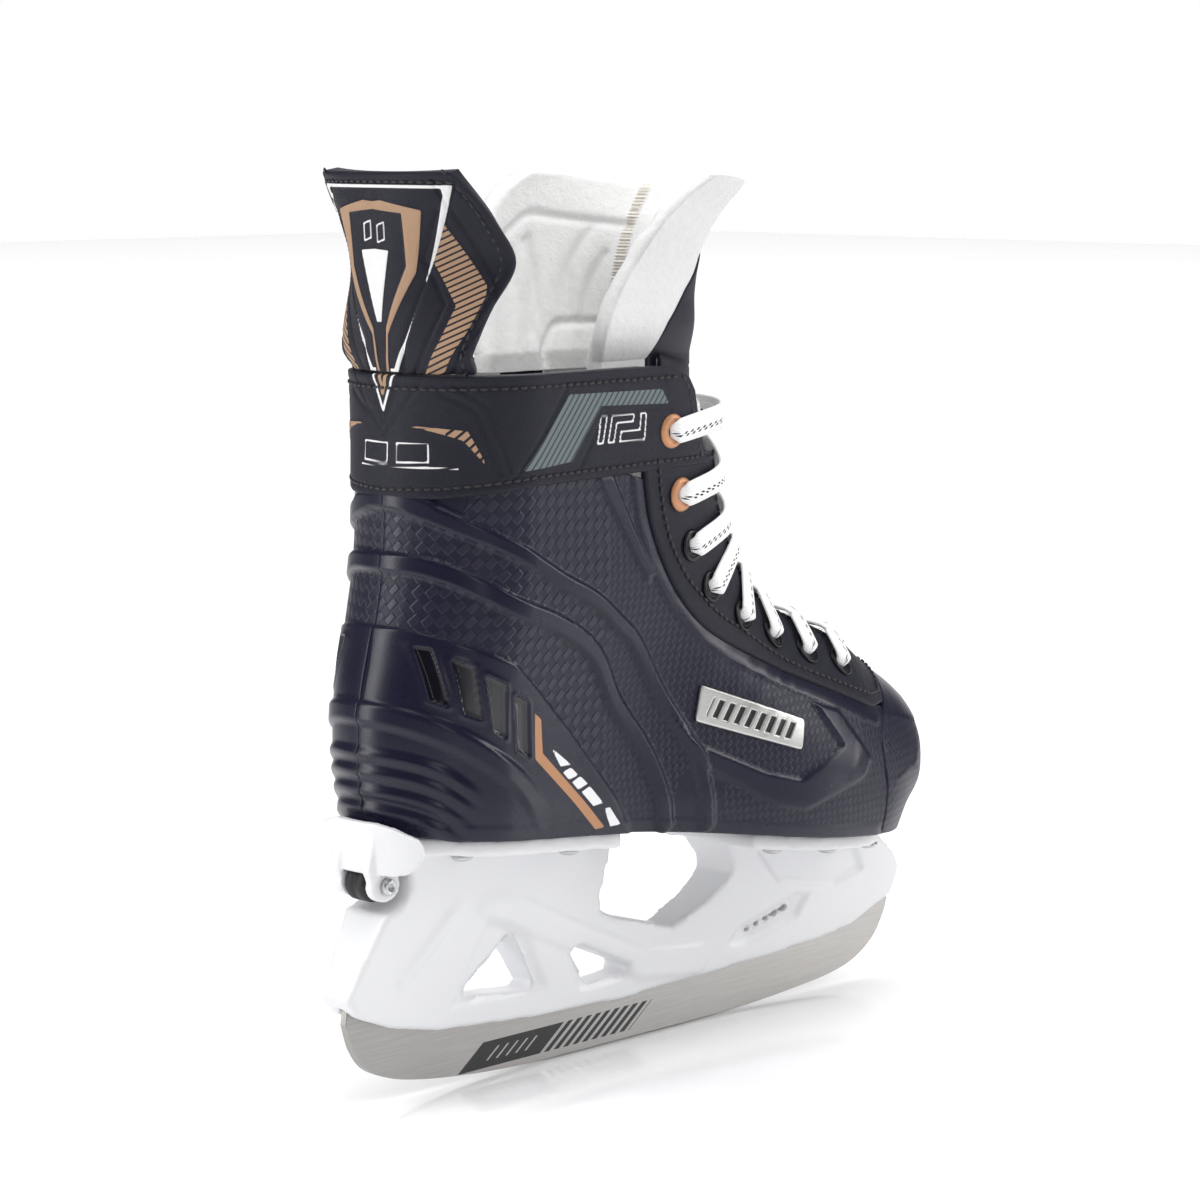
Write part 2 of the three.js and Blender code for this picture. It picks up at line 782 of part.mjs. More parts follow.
function strand(firstSide) {
  const points = [];
  let side = firstSide;
  for (let row = EYELETS.length - 1; row >= 0; row--) {
    const eyelet = eyelets.find((e) => e.row === row && e.side === side);
    const next = eyelets.find((e) => e.row === Math.max(row - 1, 0) && e.side === -side);
    const edge = pointAcross(eyelet.at.x, eyelet.at.z, side, 0);
    const inward = edge.clone().sub(eyelet.at).normalize();
    const by = (height, across) => (
      eyelet.at.clone().addScaledVector(eyelet.normal, height).addScaledVector(inward, across));
    const between = (t, share, height) => pointAcross(
      THREE.MathUtils.lerp(eyelet.at.x, next.at.x, t),
      THREE.MathUtils.lerp(eyelet.at.z, next.at.z, t),
      share * side,
      height,
    );
    points.push(by(LACE_UNDER, 2), by(-2.8, 0), by(1.4, -0.3), by(LACE_OVER + 0.3, 2));
    points.push(between(0.02, 1.08, LACE_OVER + 0.2));
    points.push(between(0.08, 0.96, LACE_OVER));
    points.push(between(0.2, 0.8, 0));
    points.push(between(0.4, 0.4, -2.4));
    points.push(between(0.62, -0.35, -3.4));
    points.push(between(0.84, -0.74, -4.6));
    points.push(between(0.95, -0.97, -5));
    points.push(between(1, -1.04, -5.2));
    side = -side;
  }
  return points;
}

// A curve whose steps fall on its points, so that tight bends get as many as long runs.
class PointSpacedCurve extends THREE.CatmullRomCurve3 {
  getUtoTmapping(u) {
    return u;
  }
}

// ---- Assembly -----------------------------------------------------------------------
const skate = new THREE.Group();
const finish = (color, roughness, metalness = 0) => (
  new THREE.MeshStandardMaterial({ color, roughness, metalness }));
const materials = {
  shell: finish(0x24242a, 0.45),
  leather: finish(0x2a2a30, 0.6),
  felt: finish(0xe2e2de, 0.95),
  plastic: finish(0xeeeef2, 0.35),
  steel: finish(0xa09a96, 0.3, 1),
  copper: finish(0xb97e58, 0.4, 0.6),
  black: finish(0x151518, 0.5),
  zinc: finish(0xb8bcc0, 0.35, 1),
  lace: finish(0xf0f0f0, 0.9),
  silver: finish(0xbebeb9, 0.3, 1),
};

function addPiece(name, geometry, material) {
  const mesh = new THREE.Mesh(geometry, material);
  mesh.name = name;
  skate.add(mesh);
  return mesh;
}
const addSolid = (name, solid, material) => addPiece(name, toGeometry(solid), material);

addSolid("runner", runner, materials.steel);
addSolid("blade_holder", holder, materials.plastic);
addSolid("heel_bracket", bracket, materials.plastic);
for (const [name, shape, material] of [
  ["roller", rollerShape, materials.black],
  ["roller_screw", screwShape, materials.zinc],
  ["roller_nut", nutShape, materials.zinc],
]) {
  addPiece(name, shape, material).position.set(ROLLER.x, 0, ROLLER.z);
}
for (const { name, at } of rivetPlaces) {
  addPiece(name, rivetShape, materials.zinc).position.copy(at);
}
addSolid("outsole", outsole, materials.black);
addSolid("footbed", footbed, materials.felt);
addSolid("shell_right", shell.intersect(rightHalf), materials.shell);
addSolid("shell_left", shell.intersect(leftHalf), materials.shell);
addSolid("toe_cap", toeCap, materials.shell);
addSolid("eyestay_right", eyestay.intersect(rightHalf), materials.leather);
addSolid("eyestay_left", eyestay.intersect(leftHalf), materials.leather);
addSolid("cuff", cuff, materials.leather);
addSolid("tendon_guard", guard, materials.leather);
addSolid("liner", liner, materials.felt);
addSolid("tongue_lower", tongueFelt, materials.felt);
addSolid("tongue_upper", flapFelt, materials.felt);
addSolid("tongue_cover_lower", tongueCover, materials.leather);
addSolid("tongue_cover_upper", flapCover, materials.leather);
addSolid("badge_right", badge.intersect(rightHalf), materials.silver);
addSolid("badge_left", badge.intersect(leftHalf), materials.silver);

const up = new THREE.Vector3(0, 1, 0);
for (const { name, row, at, normal } of eyelets) {
  const copper = row < 2;
  const mesh = addPiece(name, eyeletShape(copper ? 5.4 : 5.2), copper ? materials.copper : materials.black);
  mesh.position.copy(at);
  mesh.quaternion.setFromUnitVectors(up, normal);
}

// The lowest run lies under both eyestays.
const [lowX, lowZ] = EYELETS.at(-1);
const lowestRun = [-1, -0.5, 0.5, 1].map((share) => (
  pointAcross(lowX, lowZ, share, LACE_UNDER + 0.2)));
const laceRoute = [...strand(-1).reverse(), ...lowestRun, ...strand(1)];
const laceCurve = new PointSpacedCurve(laceRoute, false, "centripetal");
const laceSection = new THREE.Shape(Array.from({ length: 8 }, (_, i) => {
  const angle = (2 * Math.PI * i) / 8;
  return new THREE.Vector2(
    (LACE_DIAMETER / 2) * Math.cos(angle),
    (LACE_DIAMETER / 2) * Math.sin(angle),
  );
}));
addPiece("lace", new THREE.ExtrudeGeometry(laceSection, {
  steps: laceCurve.points.length - 1,
  extrudePath: laceCurve,
  bevelEnabled: false,
}), materials.lace);

export default skate;
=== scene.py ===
import math
import bmesh
import bpy
import numpy as np
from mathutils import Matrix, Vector


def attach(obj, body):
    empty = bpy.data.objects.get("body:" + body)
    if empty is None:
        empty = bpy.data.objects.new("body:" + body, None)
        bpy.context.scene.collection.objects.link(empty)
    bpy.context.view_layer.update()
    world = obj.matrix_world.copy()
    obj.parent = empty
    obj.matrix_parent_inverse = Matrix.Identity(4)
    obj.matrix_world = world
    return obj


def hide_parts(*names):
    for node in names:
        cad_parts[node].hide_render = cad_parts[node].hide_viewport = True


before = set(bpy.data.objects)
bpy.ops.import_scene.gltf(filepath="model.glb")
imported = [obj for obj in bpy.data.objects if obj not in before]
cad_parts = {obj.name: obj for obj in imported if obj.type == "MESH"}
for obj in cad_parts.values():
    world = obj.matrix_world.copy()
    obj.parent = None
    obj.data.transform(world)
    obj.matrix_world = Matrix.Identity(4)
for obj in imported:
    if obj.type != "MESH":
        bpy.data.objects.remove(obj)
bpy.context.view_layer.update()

# ---- Camera, floor and light -----------------------------------------------------------
# The skate stands on a pale glossy table, seen from behind and from its outer side.
heading, tilt = math.radians(44), math.radians(7.66)
view_direction = Vector((
    math.cos(heading) * math.cos(tilt),
    math.sin(heading) * math.cos(tilt),
    -math.sin(tilt),
))
camera_data = bpy.data.cameras.new("camera")
camera_data.lens = 106.67
camera_data.sensor_width = 36
camera_data.clip_end = 50
camera = bpy.data.objects.new("camera", camera_data)
camera.location = (-0.87785, -0.84773, 0.32178)
camera.rotation_euler = view_direction.to_track_quat("-Z", "Y").to_euler()
bpy.context.scene.collection.objects.link(camera)
bpy.context.scene.camera = camera


class Wire:
    """A node's output. Arithmetic on it adds Math nodes to the same tree."""

    def __init__(self, recipe, socket):
        self.recipe = recipe
        self.socket = socket

    def math(self, operation, *others):
        return self.recipe.node("ShaderNodeMath", {"operation": operation}, self, *others)

    def __add__(self, other):
        return self.math("ADD", other)

    def __sub__(self, other):
        return self.math("SUBTRACT", other)

    def __mul__(self, other):
        return self.math("MULTIPLY", other)

    def __rsub__(self, other):
        return self.recipe.node("ShaderNodeMath", {"operation": "SUBTRACT"}, other, self)

    def __lt__(self, other):
        return self.math("LESS_THAN", other)

    def __gt__(self, other):
        return self.math("GREATER_THAN", other)

    __radd__ = __add__
    __rmul__ = __mul__

    def fraction(self):
        return self.math("FRACT")

    def size(self):
        return self.math("ABSOLUTE")

    def most(self, other):
        return self.math("MAXIMUM", other)

    def rise(self, low, high):
        """0 below low and 1 above high, with a smooth step between."""
        return self.recipe.node(
            "ShaderNodeMapRange", {"interpolation_type": "SMOOTHSTEP"}, self, low, high)


class Recipe:
    """A node tree that is written as expressions."""

    def __init__(self, tree):
        self.tree = tree

    def node(self, kind, settings=None, *inputs, output=0, **named):
        made = self.tree.nodes.new(kind)
        for key, value in (settings or {}).items():
            if key == "stops":
                ramp = made.color_ramp.elements
                while len(ramp) < len(value):
                    ramp.new(0.5)
                for stop, (place, colour) in zip(ramp, value):
                    stop.position, stop.color = place, colour
            else:
                setattr(made, key, value)
        pairs = list(enumerate(inputs)) + [(k.replace("_", " "), v) for k, v in named.items()]
        for key, value in pairs:
            if isinstance(value, Wire):
                self.tree.links.new(value.socket, made.inputs[key])
            elif value is not None:
                made.inputs[key].default_value = value
        return Wire(self, made.outputs[output]) if len(made.outputs) else made


class Finish(Recipe):
    """A material on one Principled shader."""

    def __init__(self, name, colour, roughness, **uniform):
        self.material = bpy.data.materials.new(name)
        self.material.use_nodes = True
        super().__init__(self.material.node_tree)
        self.shader = self.tree.nodes["Principled BSDF"]
        self.put(Base_Color=(*colour, 1), Roughness=roughness, **uniform)

    def put(self, **named):
        for key, value in named.items():
            socket = self.shader.inputs[key.replace("_", " ")]
            if isinstance(value, Wire):
                self.tree.links.new(value.socket, socket)
            else:
                socket.default_value = value

    def place(self):
        return self.node("ShaderNodeTexCoord", output="Object")

    def axes(self, vector=None):
        parts = self.node("ShaderNodeSeparateXYZ", None, vector or self.place())
        return [Wire(self, parts.socket.node.outputs[i]) for i in range(3)]

    def measure(self, name):
        return self.node("ShaderNodeAttribute", {"attribute_name": name}, output="Fac")

    def noise(self, scale, detail=3.0, vector=None, roughness=0.5):
        return self.node("ShaderNodeTexNoise", None, Vector=vector or self.place(), Scale=scale,
                         Detail=detail, Roughness=roughness, output="Fac")

    def cells(self, scale, vector=None, feature="F1"):
        return self.node("ShaderNodeTexVoronoi", {"feature": feature},
                         Vector=vector or self.place(), Scale=scale, output="Distance")

    def blend(self, factor, first, second):
        """Colours or wires: first where factor is 0, second where it is 1."""
        made = self.tree.nodes.new("ShaderNodeMix")
        made.data_type = "RGBA"
        for key, value in ((0, factor), (6, first), (7, second)):
            if isinstance(value, Wire):
                self.tree.links.new(value.socket, made.inputs[key])
            else:
                made.inputs[key].default_value = value if key == 0 else (*value, 1)
        return Wire(self, made.outputs[2])

    def bump(self, height, distance, strength=1.0, normal=None):
        return self.node("ShaderNodeBump", None, Height=height, Distance=distance,
                         Strength=strength, Normal=normal)


table_finish = Finish("table", (0.93, 0.93, 0.94), 0.2)
table_finish.put(Roughness=table_finish.noise(3.0) * 0.03 + 0.1, Specular_IOR_Level=0.5)
bpy.ops.mesh.primitive_plane_add(size=14, location=(0, 0, -0.0004))
table = bpy.context.object
table.name = "table"
table.data.materials.append(table_finish.material)

world = bpy.data.worlds.new("studio")
world.use_nodes = True
world.node_tree.nodes["Background"].inputs[0].default_value = (1, 1, 1, 1)
surroundings = Recipe(world.node_tree)
ray = world.node_tree.nodes.new("ShaderNodeLightPath")
seen = Wire(surroundings, ray.outputs["Is Camera Ray"])
mirrored_ray = Wire(surroundings, ray.outputs["Is Glossy Ray"])
direction = world.node_tree.nodes.new("ShaderNodeTexCoord").outputs["Generated"]
behind = surroundings.node("ShaderNodeVectorMath", {"operation": "DOT_PRODUCT"},
                           Wire(surroundings, direction), (0.7193, 0.6947, 0), output=1)
behind = behind.rise(0.86, 0.97)
# The camera sees white, gloss mirrors a bright wall only behind the skate, and the rest of
# the light from around is weaker.
brightness = (0.4 + mirrored_ray * (behind * 0.95 - 0.28)).most(seen)
world.node_tree.links.new(brightness.socket, world.node_tree.nodes["Background"].inputs[1])
bpy.context.scene.world = world
bpy.context.scene.view_settings.view_transform = "Standard"


def softbox(name, place, aim, size, power):
    light = bpy.data.lights.new(name, "AREA")
    light.shape = "RECTANGLE"
    light.size, light.size_y = size
    light.energy = power
    stand = bpy.data.objects.new(name, light)
    stand.location = place
    turn = (Vector(aim) - Vector(place)).to_track_quat("-Z", "Y")
    stand.rotation_euler = turn.to_euler()
    bpy.context.scene.collection.objects.link(stand)
    return stand


ceiling = softbox("ceiling", (1.5, 1.5, 2.6), (1.5, 1.5, 0), (9, 9), 230)
ceiling.visible_glossy = False
softbox("overhead", (-0.1, -0.2, 1.7), (0, 0, 0.1), (1.4, 1.0), 9)
softbox("toe_side", (1.3, -1.0, 0.7), (0, 0, 0.15), (0.35, 1.2), 9)
softbox("heel_side", (-1.2, 0.75, 0.6), (-0.05, 0, 0.2), (0.3, 1.3), 9)
softbox("front_fill", (-0.9, -1.9, 0.9), (0, 0, 0.15), (0.5, 1.1), 4)


# ---- Shell -------------------------------------------------------------------------------
# The quarters are moulded over one last from thin plastic with a pressed carbon weave, and
# they meet in a seam at the heel. Raised glossy ribs run round the heel and forward to a
# hook under the badge.
HEEL_BACK = [  # z, x in millimetres
    (60, -106), (93, -109), (116, -112), (134, -111), (152, -107), (176, -102),
    (200, -100.5), (230, -99.5), (265, -101.5), (312, -104)]
SOLE_LINE = [  # x, z
    (-125, 94.5), (-74, 88.5), (-23, 83.5), (5, 80), (32, 76), (70, 70), (98, 66.5),
    (125, 63.5), (165, 62)]
SOLE_HALF = [  # x, y
    (-125, 33), (-75, 33.5), (-40, 33), (-10, 34), (20, 39), (50, 45), (75, 47),
    (100, 45), (125, 40), (165, 32)]
ANKLE_HALF = [(60, 34), (150, 37), (190, 36), (240, 38), (312, 38)]  # z, y
FRONT_RADIUS = [(30, 44), (55, 54), (75, 64), (110, 60), (135, 48), (165, 44)]  # x, radius
FRONT = [  # x, z from the toe's underside to the shin
    (146, 62.5), (154, 71), (158, 83), (157, 98), (151, 109), (141, 117), (124, 127),
    (108, 139), (90, 147.5), (70, 156), (56, 167), (48, 185), (44, 205), (42, 235), (42, 312)]


def follow(table, t):
    """Smooth curve through a table of pairs."""
    pairs = np.array(table, float)
    xs, ys = pairs.T
    last = len(xs) - 1
    before = np.maximum(np.arange(last + 1) - 1, 0)
    after = np.minimum(np.arange(last + 1) + 1, last)
    slope = (ys[after] - ys[before]) / (xs[after] - xs[before])
    i = np.clip(np.searchsorted(xs, t, side="right") - 1, 0, last - 1)
    h = xs[i + 1] - xs[i]
    u = np.clip((t - xs[i]) / h, 0, 1)
    w = u * u * (3 - 2 * u)
    return (ys[i] + (ys[i + 1] - ys[i]) * w
            + h * (slope[i] * u * (1 - u) ** 2 - slope[i + 1] * u * u * (1 - u)))


def splined(points, steps=40):
    """Even points along a smooth curve through the given ones."""
    p = np.array(points, float)
    ends = np.vstack([p[0], p, p[-1]])
    w = np.linspace(0, 1, steps, endpoint=False)[:, None]
    parts = []
    for k in range(len(p) - 1):
        p0, p1, p2, p3 = ends[k:k + 4]
        v0, v1 = (p2 - p0) / 2, (p3 - p1) / 2
        parts.append((2 * p1 - 2 * p2 + v0 + v1) * w**3
                     + (-3 * p1 + 3 * p2 - 2 * v0 - v1) * w**2 + v0 * w + p1)
    return np.vstack(parts + [p[-1:]])


def unit(vectors):
    return vectors / np.maximum(np.linalg.norm(vectors, axis=-1, keepdims=True), 1e-9)


def lengths(points):
    steps = np.linalg.norm(np.diff(points, axis=0), axis=1)
    return np.concatenate([[0], np.cumsum(steps)])


def grid_runs(points, axis=1):
    """Distance over a grid of places, from its first column or its first row."""
    steps = np.linalg.norm(np.diff(points, axis=axis), axis=2)
    start = np.zeros_like(np.take(steps, [0], axis=axis))
    return np.concatenate([start, np.cumsum(steps, axis=axis)], axis=axis)


def resampled(points, count):
    """Evenly spaced rows of a line. Columns after the third are carried along with it."""
    along = lengths(points[:, :3])
    wanted = np.linspace(0, along[-1], count) if np.isscalar(count) else count * along[-1]
    return np.stack([np.interp(wanted, along, column) for column in points.T], axis=1)


front_line = splined(FRONT)
front_lengths = lengths(front_line)
front_coarse = resampled(front_line, 61)


def step_up(t, low, high):
    u = np.clip((t - low) / (high - low), 0, 1)
    return u * u * (3 - 2 * u)


def distance_to(x, z, line):
    """Distance to a polyline, and the x of its nearest point."""
    best = np.full(np.shape(x), 1e9)
    best_x = np.zeros(np.shape(x))
    line = np.array(line, float)
    for a, b in zip(line[:-1], line[1:]):
        d = b - a
        u = np.clip(((x - a[0]) * d[0] + (z - a[1]) * d[1]) / (d @ d), 0, 1)
        distance = np.hypot(x - a[0] - u * d[0], z - a[1] - u * d[1])
        nearer = distance < best
        best = np.where(nearer, distance, best)
        best_x = np.where(nearer, a[0] + u * d[0], best_x)
    return best, best_x


def inside(x, z, outline):
    """Distance to an outline: positive inside it, negative outside."""
    ring = np.array(outline, float)
    crossings = np.zeros(np.shape(x), bool)
    for a, b in zip(ring, np.roll(ring, -1, axis=0)):
        spans = (a[1] > z) != (b[1] > z)
        with np.errstate(divide="ignore", invalid="ignore"):
            crossings ^= spans & (x < (b[0] - a[0]) * (z - a[1]) / (b[1] - a[1]) + a[0])
    distance = distance_to(x, z, np.vstack([ring, ring[:1]]))[0]
    return np.where(crossings, distance, -distance)


def half_width(x, z):
    def rounding(t):
        return np.sqrt(np.maximum(0, 1 - (1 - np.clip(t, 0, 1)) ** 2))
    ankle = step_up(z, 115, 185)
    width = follow(SOLE_HALF, x) * (1 - ankle) + follow(ANKLE_HALF, z) * ankle
    width = width * (1 - 0.08 * np.maximum(0, 1 - (z - follow(SOLE_LINE, x)) / 14) ** 2)
    distance, nearest_x = distance_to(x, z, front_coarse)
    return (width * rounding((x - follow(HEEL_BACK, z)) / 34)
            * rounding(distance / follow(FRONT_RADIUS, nearest_x)))


def side_place(v, u):
    back_z = 93 + 219 * v
    back_x = follow(HEEL_BACK, back_z)
    front_x = np.interp(v * front_lengths[-1], front_lengths, front_line[:, 0])
    front_z = np.interp(v * front_lengths[-1], front_lengths, front_line[:, 1])
    x = back_x + (front_x - back_x) * u
    sag = follow(SOLE_LINE, x) - (93 - 30.5 * u)
    return x, back_z + (front_z - back_z) * u + sag * np.maximum(0, 1 - v / 0.3)


def boot_point(v, a):
    """Places on the last, in millimetres: v runs from the sole up to the top, and a from 0
    at the heel to 1 over the toe and shin, negative on the inner side."""
    x, z = side_place(v, (1 - np.cos(np.pi * a)) / 2)
    return np.stack([x, -np.sign(np.sin(np.pi * a)) * half_width(x, z), z], axis=-1)


def boot_normal(v, a):
    e = 0.003
    low, high = np.clip(v - e, 0, 1), np.clip(v + e, 0, 1)
    up = boot_point(high, a) - boot_point(low, a)
    around = boot_point(v, a + e) - boot_point(v, a - e)
    return unit(np.cross(around, up))


def make_mesh(name, points, faces, measures=None, uv=None, smooth=True):
    """A mesh object from places in millimetres."""
    mesh = bpy.data.meshes.new(name)
    mesh.from_pydata((np.asarray(points) / 1000).tolist(), [], [list(f) for f in faces])
    for key, values in (measures or {}).items():
        mesh.attributes.new(key, "FLOAT", "POINT").data.foreach_set(
            "value", np.asarray(values, np.float32).ravel())
    if uv is not None:
        layer = mesh.uv_layers.new(name="surface")
        corner = np.empty(len(mesh.loops), np.int32)
        mesh.loops.foreach_get("vertex_index", corner)
        layer.data.foreach_set("uv", np.asarray(uv, np.float32)[corner].ravel())
    mesh.polygons.foreach_set("use_smooth", [smooth] * len(mesh.polygons))
    mesh.validate()
    mesh.update()
    piece = bpy.data.objects.new(name, mesh)
    bpy.context.scene.collection.objects.link(piece)
    return piece


def grid_faces(rows, columns, start=0, flip=False):
    i, j = np.meshgrid(np.arange(rows - 1), np.arange(columns - 1), indexing="ij")
    a = (start + i * columns + j).ravel()
    quads = np.stack([a, a + 1, a + columns + 1, a + columns], axis=1)
    return quads[:, ::-1] if flip else quads


EYESTAY_SEAM = [(-18, 212), (-14, 191), (-8, 176), (1, 162), (15, 149), (41, 136), (68, 125),
                (103, 112), (140, 105)]
UPPER_RIB = [(-114, 204), (-100, 200), (-97, 197), (-90, 192), (-75, 184), (-56, 173),
             (-40, 165), (-28, 156), (-19, 148), (-6, 128), (7, 110), (12, 98), (15, 82)]
LOWER_RIB = [(-114, 180), (-101, 180), (-94, 177), (-86, 172), (-76, 166), (-56, 158),
             (-39, 147), (-28, 129), (-15, 113), (-7, 98), (-3, 84)]
HEEL_PANEL = [(-130, 160), (-104, 159.5), (-95, 156), (-75, 147), (-64, 137), (-48, 121),
              (-27, 97), (-16, 80), (-130, 80)]
HEEL_WINDOWS = [
    [(-103, 154), (-100, 153.5), (-98, 135), (-102, 137)],
    [(-96, 150), (-90.5, 147.5), (-88.5, 130), (-94, 132.5)],
    [(-87, 144.5), (-80, 141), (-79.5, 123), (-84.5, 126)],
    [(-76, 137), (-70, 134), (-69, 115.5), (-74, 118.5)],
]
HEEL_ROLL = [(-116, 132), (-109, 131), (-97, 124.5), (-83, 115), (-70, 105), (-58, 89)]
HEEL_RIBS = [[(-118, z), (-110, z - 0.5), (-100, z - 5), (-88, z - 15)]
             for z in (118.5, 112.5, 106.5, 100.5)]
HOOK = [(-2, 121), (7, 112), (39, 97.5), (54, 93.5), (76, 102.5), (64, 119), (78, 114.5),
        (93, 95.5), (88, 90), (57, 82), (43, 85), (14, 101)]
WEDGE = [(-41, 208), (-33, 208), (-11.5, 171), (-14.5, 168)]
COPPER_STRIPE = [(-66.5, 130), (-63.5, 127.5), (-62.5, 116), (-31.5, 87), (-36, 87),
                 (-66, 114.5)]
WHITE_BARS = [
    [(-60.5, 120.5), (-58.5, 117.5), (-49, 110.5), (-54, 110.5)],
    [(-53, 108.5), (-49, 109.5), (-45.5, 106.5), (-50, 105.5)],
    [(-48.5, 104.5), (-44.5, 106), (-41, 103), (-45.5, 101.5)],
    [(-44, 100.5), (-40, 102), (-33.5, 95.5), (-38, 95)],
    [(-32.5, 93.5), (-30, 93.5), (-24, 87), (-29, 87)],
]


def shell_pattern(x, z):
    """Lift and print measures of the shell at places in the side view."""
    def ridge(line, half, soft=0.9):
        return step_up(half - distance_to(x, z, line)[0], -soft, soft)
    upper, lower = ridge(splined(UPPER_RIB, 6), 2.7), ridge(splined(LOWER_RIB, 6), 3.1)
    heel = inside(x, z, HEEL_PANEL)
    panel_mask = step_up(heel, -0.4, 0.8)
    windows = np.max([inside(x, z, w) for w in HEEL_WINDOWS], axis=0)
    roll = ridge(splined(HEEL_ROLL, 6), 3.4, 1.2) * step_up(-x, 58, 84)
    ribs = np.max([ridge(splined(r, 6), 1.5, 1.3) for r in HEEL_RIBS], axis=0)
    ribs = ribs * step_up(-x, 86, 96)
    hook = inside(x, z, HOOK)
    wedge = inside(x, z, WEDGE)
    seam = distance_to(x, z, splined(EYESTAY_SEAM, 5))[0]
    border = step_up(np.minimum(seam, 99), 6.4, 5.0)
    above_sole = z - follow(SOLE_LINE, x)
    channel = inside(x, z, [(12, 106), (22, 99), (19, 80), (-4, 80), (2, 100)])
    lift = (1.5 * upper + 1.6 * np.maximum(lower - upper, 0) + 0.9 * panel_mask
            + 1.3 * roll + 1.0 * ribs * panel_mask + 1.1 * step_up(hook, -0.6, 0.8)
            + 0.8 * step_up(wedge, -0.4, 0.6) + 0.5 * border
            + 0.35 * step_up(3.2 - np.abs(windows), 1.2, 3.2) * (windows < 0)
            - 1.1 * step_up(windows, -0.3, 0.5)
            + 0.5 * step_up(above_sole, 6.0, 3.5))
    crease = np.exp(-((windows + 0.1) / 0.35) ** 2)
    smooth = np.max([
        2.7 - distance_to(x, z, UPPER_RIB)[0], 3.1 - distance_to(x, z, LOWER_RIB)[0],
        heel, hook, wedge, 5.6 - seam, 5 - above_sole, channel,
        inside(x, z, [(-125, 208), (-86, 209), (-91, 195), (-104, 199), (-125, 199)])], axis=0)
    return lift, {
        "smooth": smooth,
        "window": windows,
        "crease": crease,
        "copper": inside(x, z, COPPER_STRIPE),
        "white": np.max([inside(x, z, w) for w in WHITE_BARS], axis=0),
        "dim": step_up(x, -98, -88),
    }


def cap_seam_x(y):
    return 103 + 28 * np.maximum(0, 1 - (np.abs(y) / 42) ** 2)


shell_rows, shell_columns = 210, 330
shell_v = np.linspace(0, 0.6, shell_rows)
shell_a = np.linspace(0, 1, shell_columns)
shell_v, shell_a = np.meshgrid(shell_v, shell_a, indexing="ij")
shell_points = boot_point(shell_v, shell_a)
shell_normals = boot_normal(shell_v, shell_a)
shell_x, shell_z = shell_points[..., 0], shell_points[..., 2]
cover = np.minimum.reduce([
    -inside(shell_x, shell_z, EYESTAY_SEAM + [(190, 105), (190, 212)]),
    212 - shell_z,
    cap_seam_x(shell_points[..., 1]) - shell_x,
])
cuff_gap = 207.2 - shell_z
shell_lift, shell_measures = shell_pattern(shell_x, shell_z)
shell_lift = shell_lift * step_up(cuff_gap, -0.5, 3.0) * step_up(cover, -1.0, 4.0)
shell_lift = shell_lift - 1.2 * step_up(-np.minimum(cover, cuff_gap + 1.0), 0.3, 2.5)
shell_arc = grid_runs(shell_points)


def weave(finish, pitch, uv="surface"):
    """Height of a pressed twill, 0 to 1, at a pitch in millimetres on a UV map."""
    across, upward, _ = finish.axes(
        finish.node("ShaderNodeUVMap", {"uv_map": uv}))
    u, w = across * (100 / pitch), upward * (100 / pitch)
    turned_u, turned_w = (u + w) * 0.7071, (w - u) * 0.7071
    row = turned_w.math("FLOOR")
    cell = (turned_u * 0.5 + row * 0.5).fraction()
    bar = (cell - 0.5).size().rise(0.33, 0.25)
    edge = (turned_w.fraction() - 0.5).size().rise(0.48, 0.3)
    return bar * edge


def shell_finish():
    finish = Finish("moulded_shell", (0.012, 0.012, 0.016), 0.4, Specular_IOR_Level=0.34)
    smooth = finish.measure("smooth").rise(-0.35, 0.35)
    ahead, _, _ = finish.axes()
    fine = ahead.rise(-0.036, -0.03)
    cloth = (weave(finish, 3.3) * (1 - fine) + weave(finish, 2.1) * fine * 0.6) * (1 - smooth)
    grain = finish.cells(1500.0) * 0.5 + finish.noise(900.0, 2.0) * 0.5
    copper = finish.measure("copper").rise(-0.12, 0.12)
    white = finish.measure("white").rise(-0.12, 0.12)
    window = finish.measure("window").rise(-0.2, 0.2)
    grey = window * finish.measure("dim")
    worn = finish.noise(35.0, 4.0).rise(0.62, 0.9)
    colour = finish.blend(worn * 0.2, (0.0075, 0.0072, 0.022), (0.016, 0.0155, 0.03))
    colour = finish.blend(cloth * 0.7, colour, (0.02, 0.0195, 0.036))
    colour = finish.blend(window * 0.8, colour, (0.003, 0.003, 0.004))
    colour = finish.blend(grey, colour, (0.045, 0.046, 0.05))
    colour = finish.blend(copper, colour, (0.46, 0.235, 0.12))
    colour = finish.blend(white, colour, (0.83, 0.83, 0.84))
    rough = 0.24 + (1 - smooth) * 0.14 + finish.noise(120.0, 2.0) * 0.08 - cloth * 0.1
    rough = rough - window * 0.12 + (copper + white) * 0.2
    height = cloth * 0.8 + grain * (0.05 + smooth * 0.05)
    finish.put(Base_Color=colour, Roughness=rough,
               Normal=finish.bump(height, 0.0003, 0.6))
    return finish.material


shell_material = shell_finish()


def cut_grid(name, points, normals, lift, keep, measures, uv, flip=False):
    """A grid surface without the places that other pieces cover, given a wall."""
    rows, columns = points.shape[:2]
    quads = grid_faces(rows, columns, flip=flip)
    quads = quads[keep.ravel()[quads].all(axis=1)]
    used, compact = np.unique(quads, return_inverse=True)
    outer = (points + normals * lift[..., None]).reshape(-1, 3)[used]
    piece = make_mesh(name, outer, compact.reshape(-1, 4),
                      {k: np.ravel(v)[used] for k, v in measures.items()},
                      uv.reshape(-1, 2)[used])
    wall = piece.modifiers.new("wall", "SOLIDIFY")
    wall.thickness = 0.0012
    wall.offset = -1
    return piece


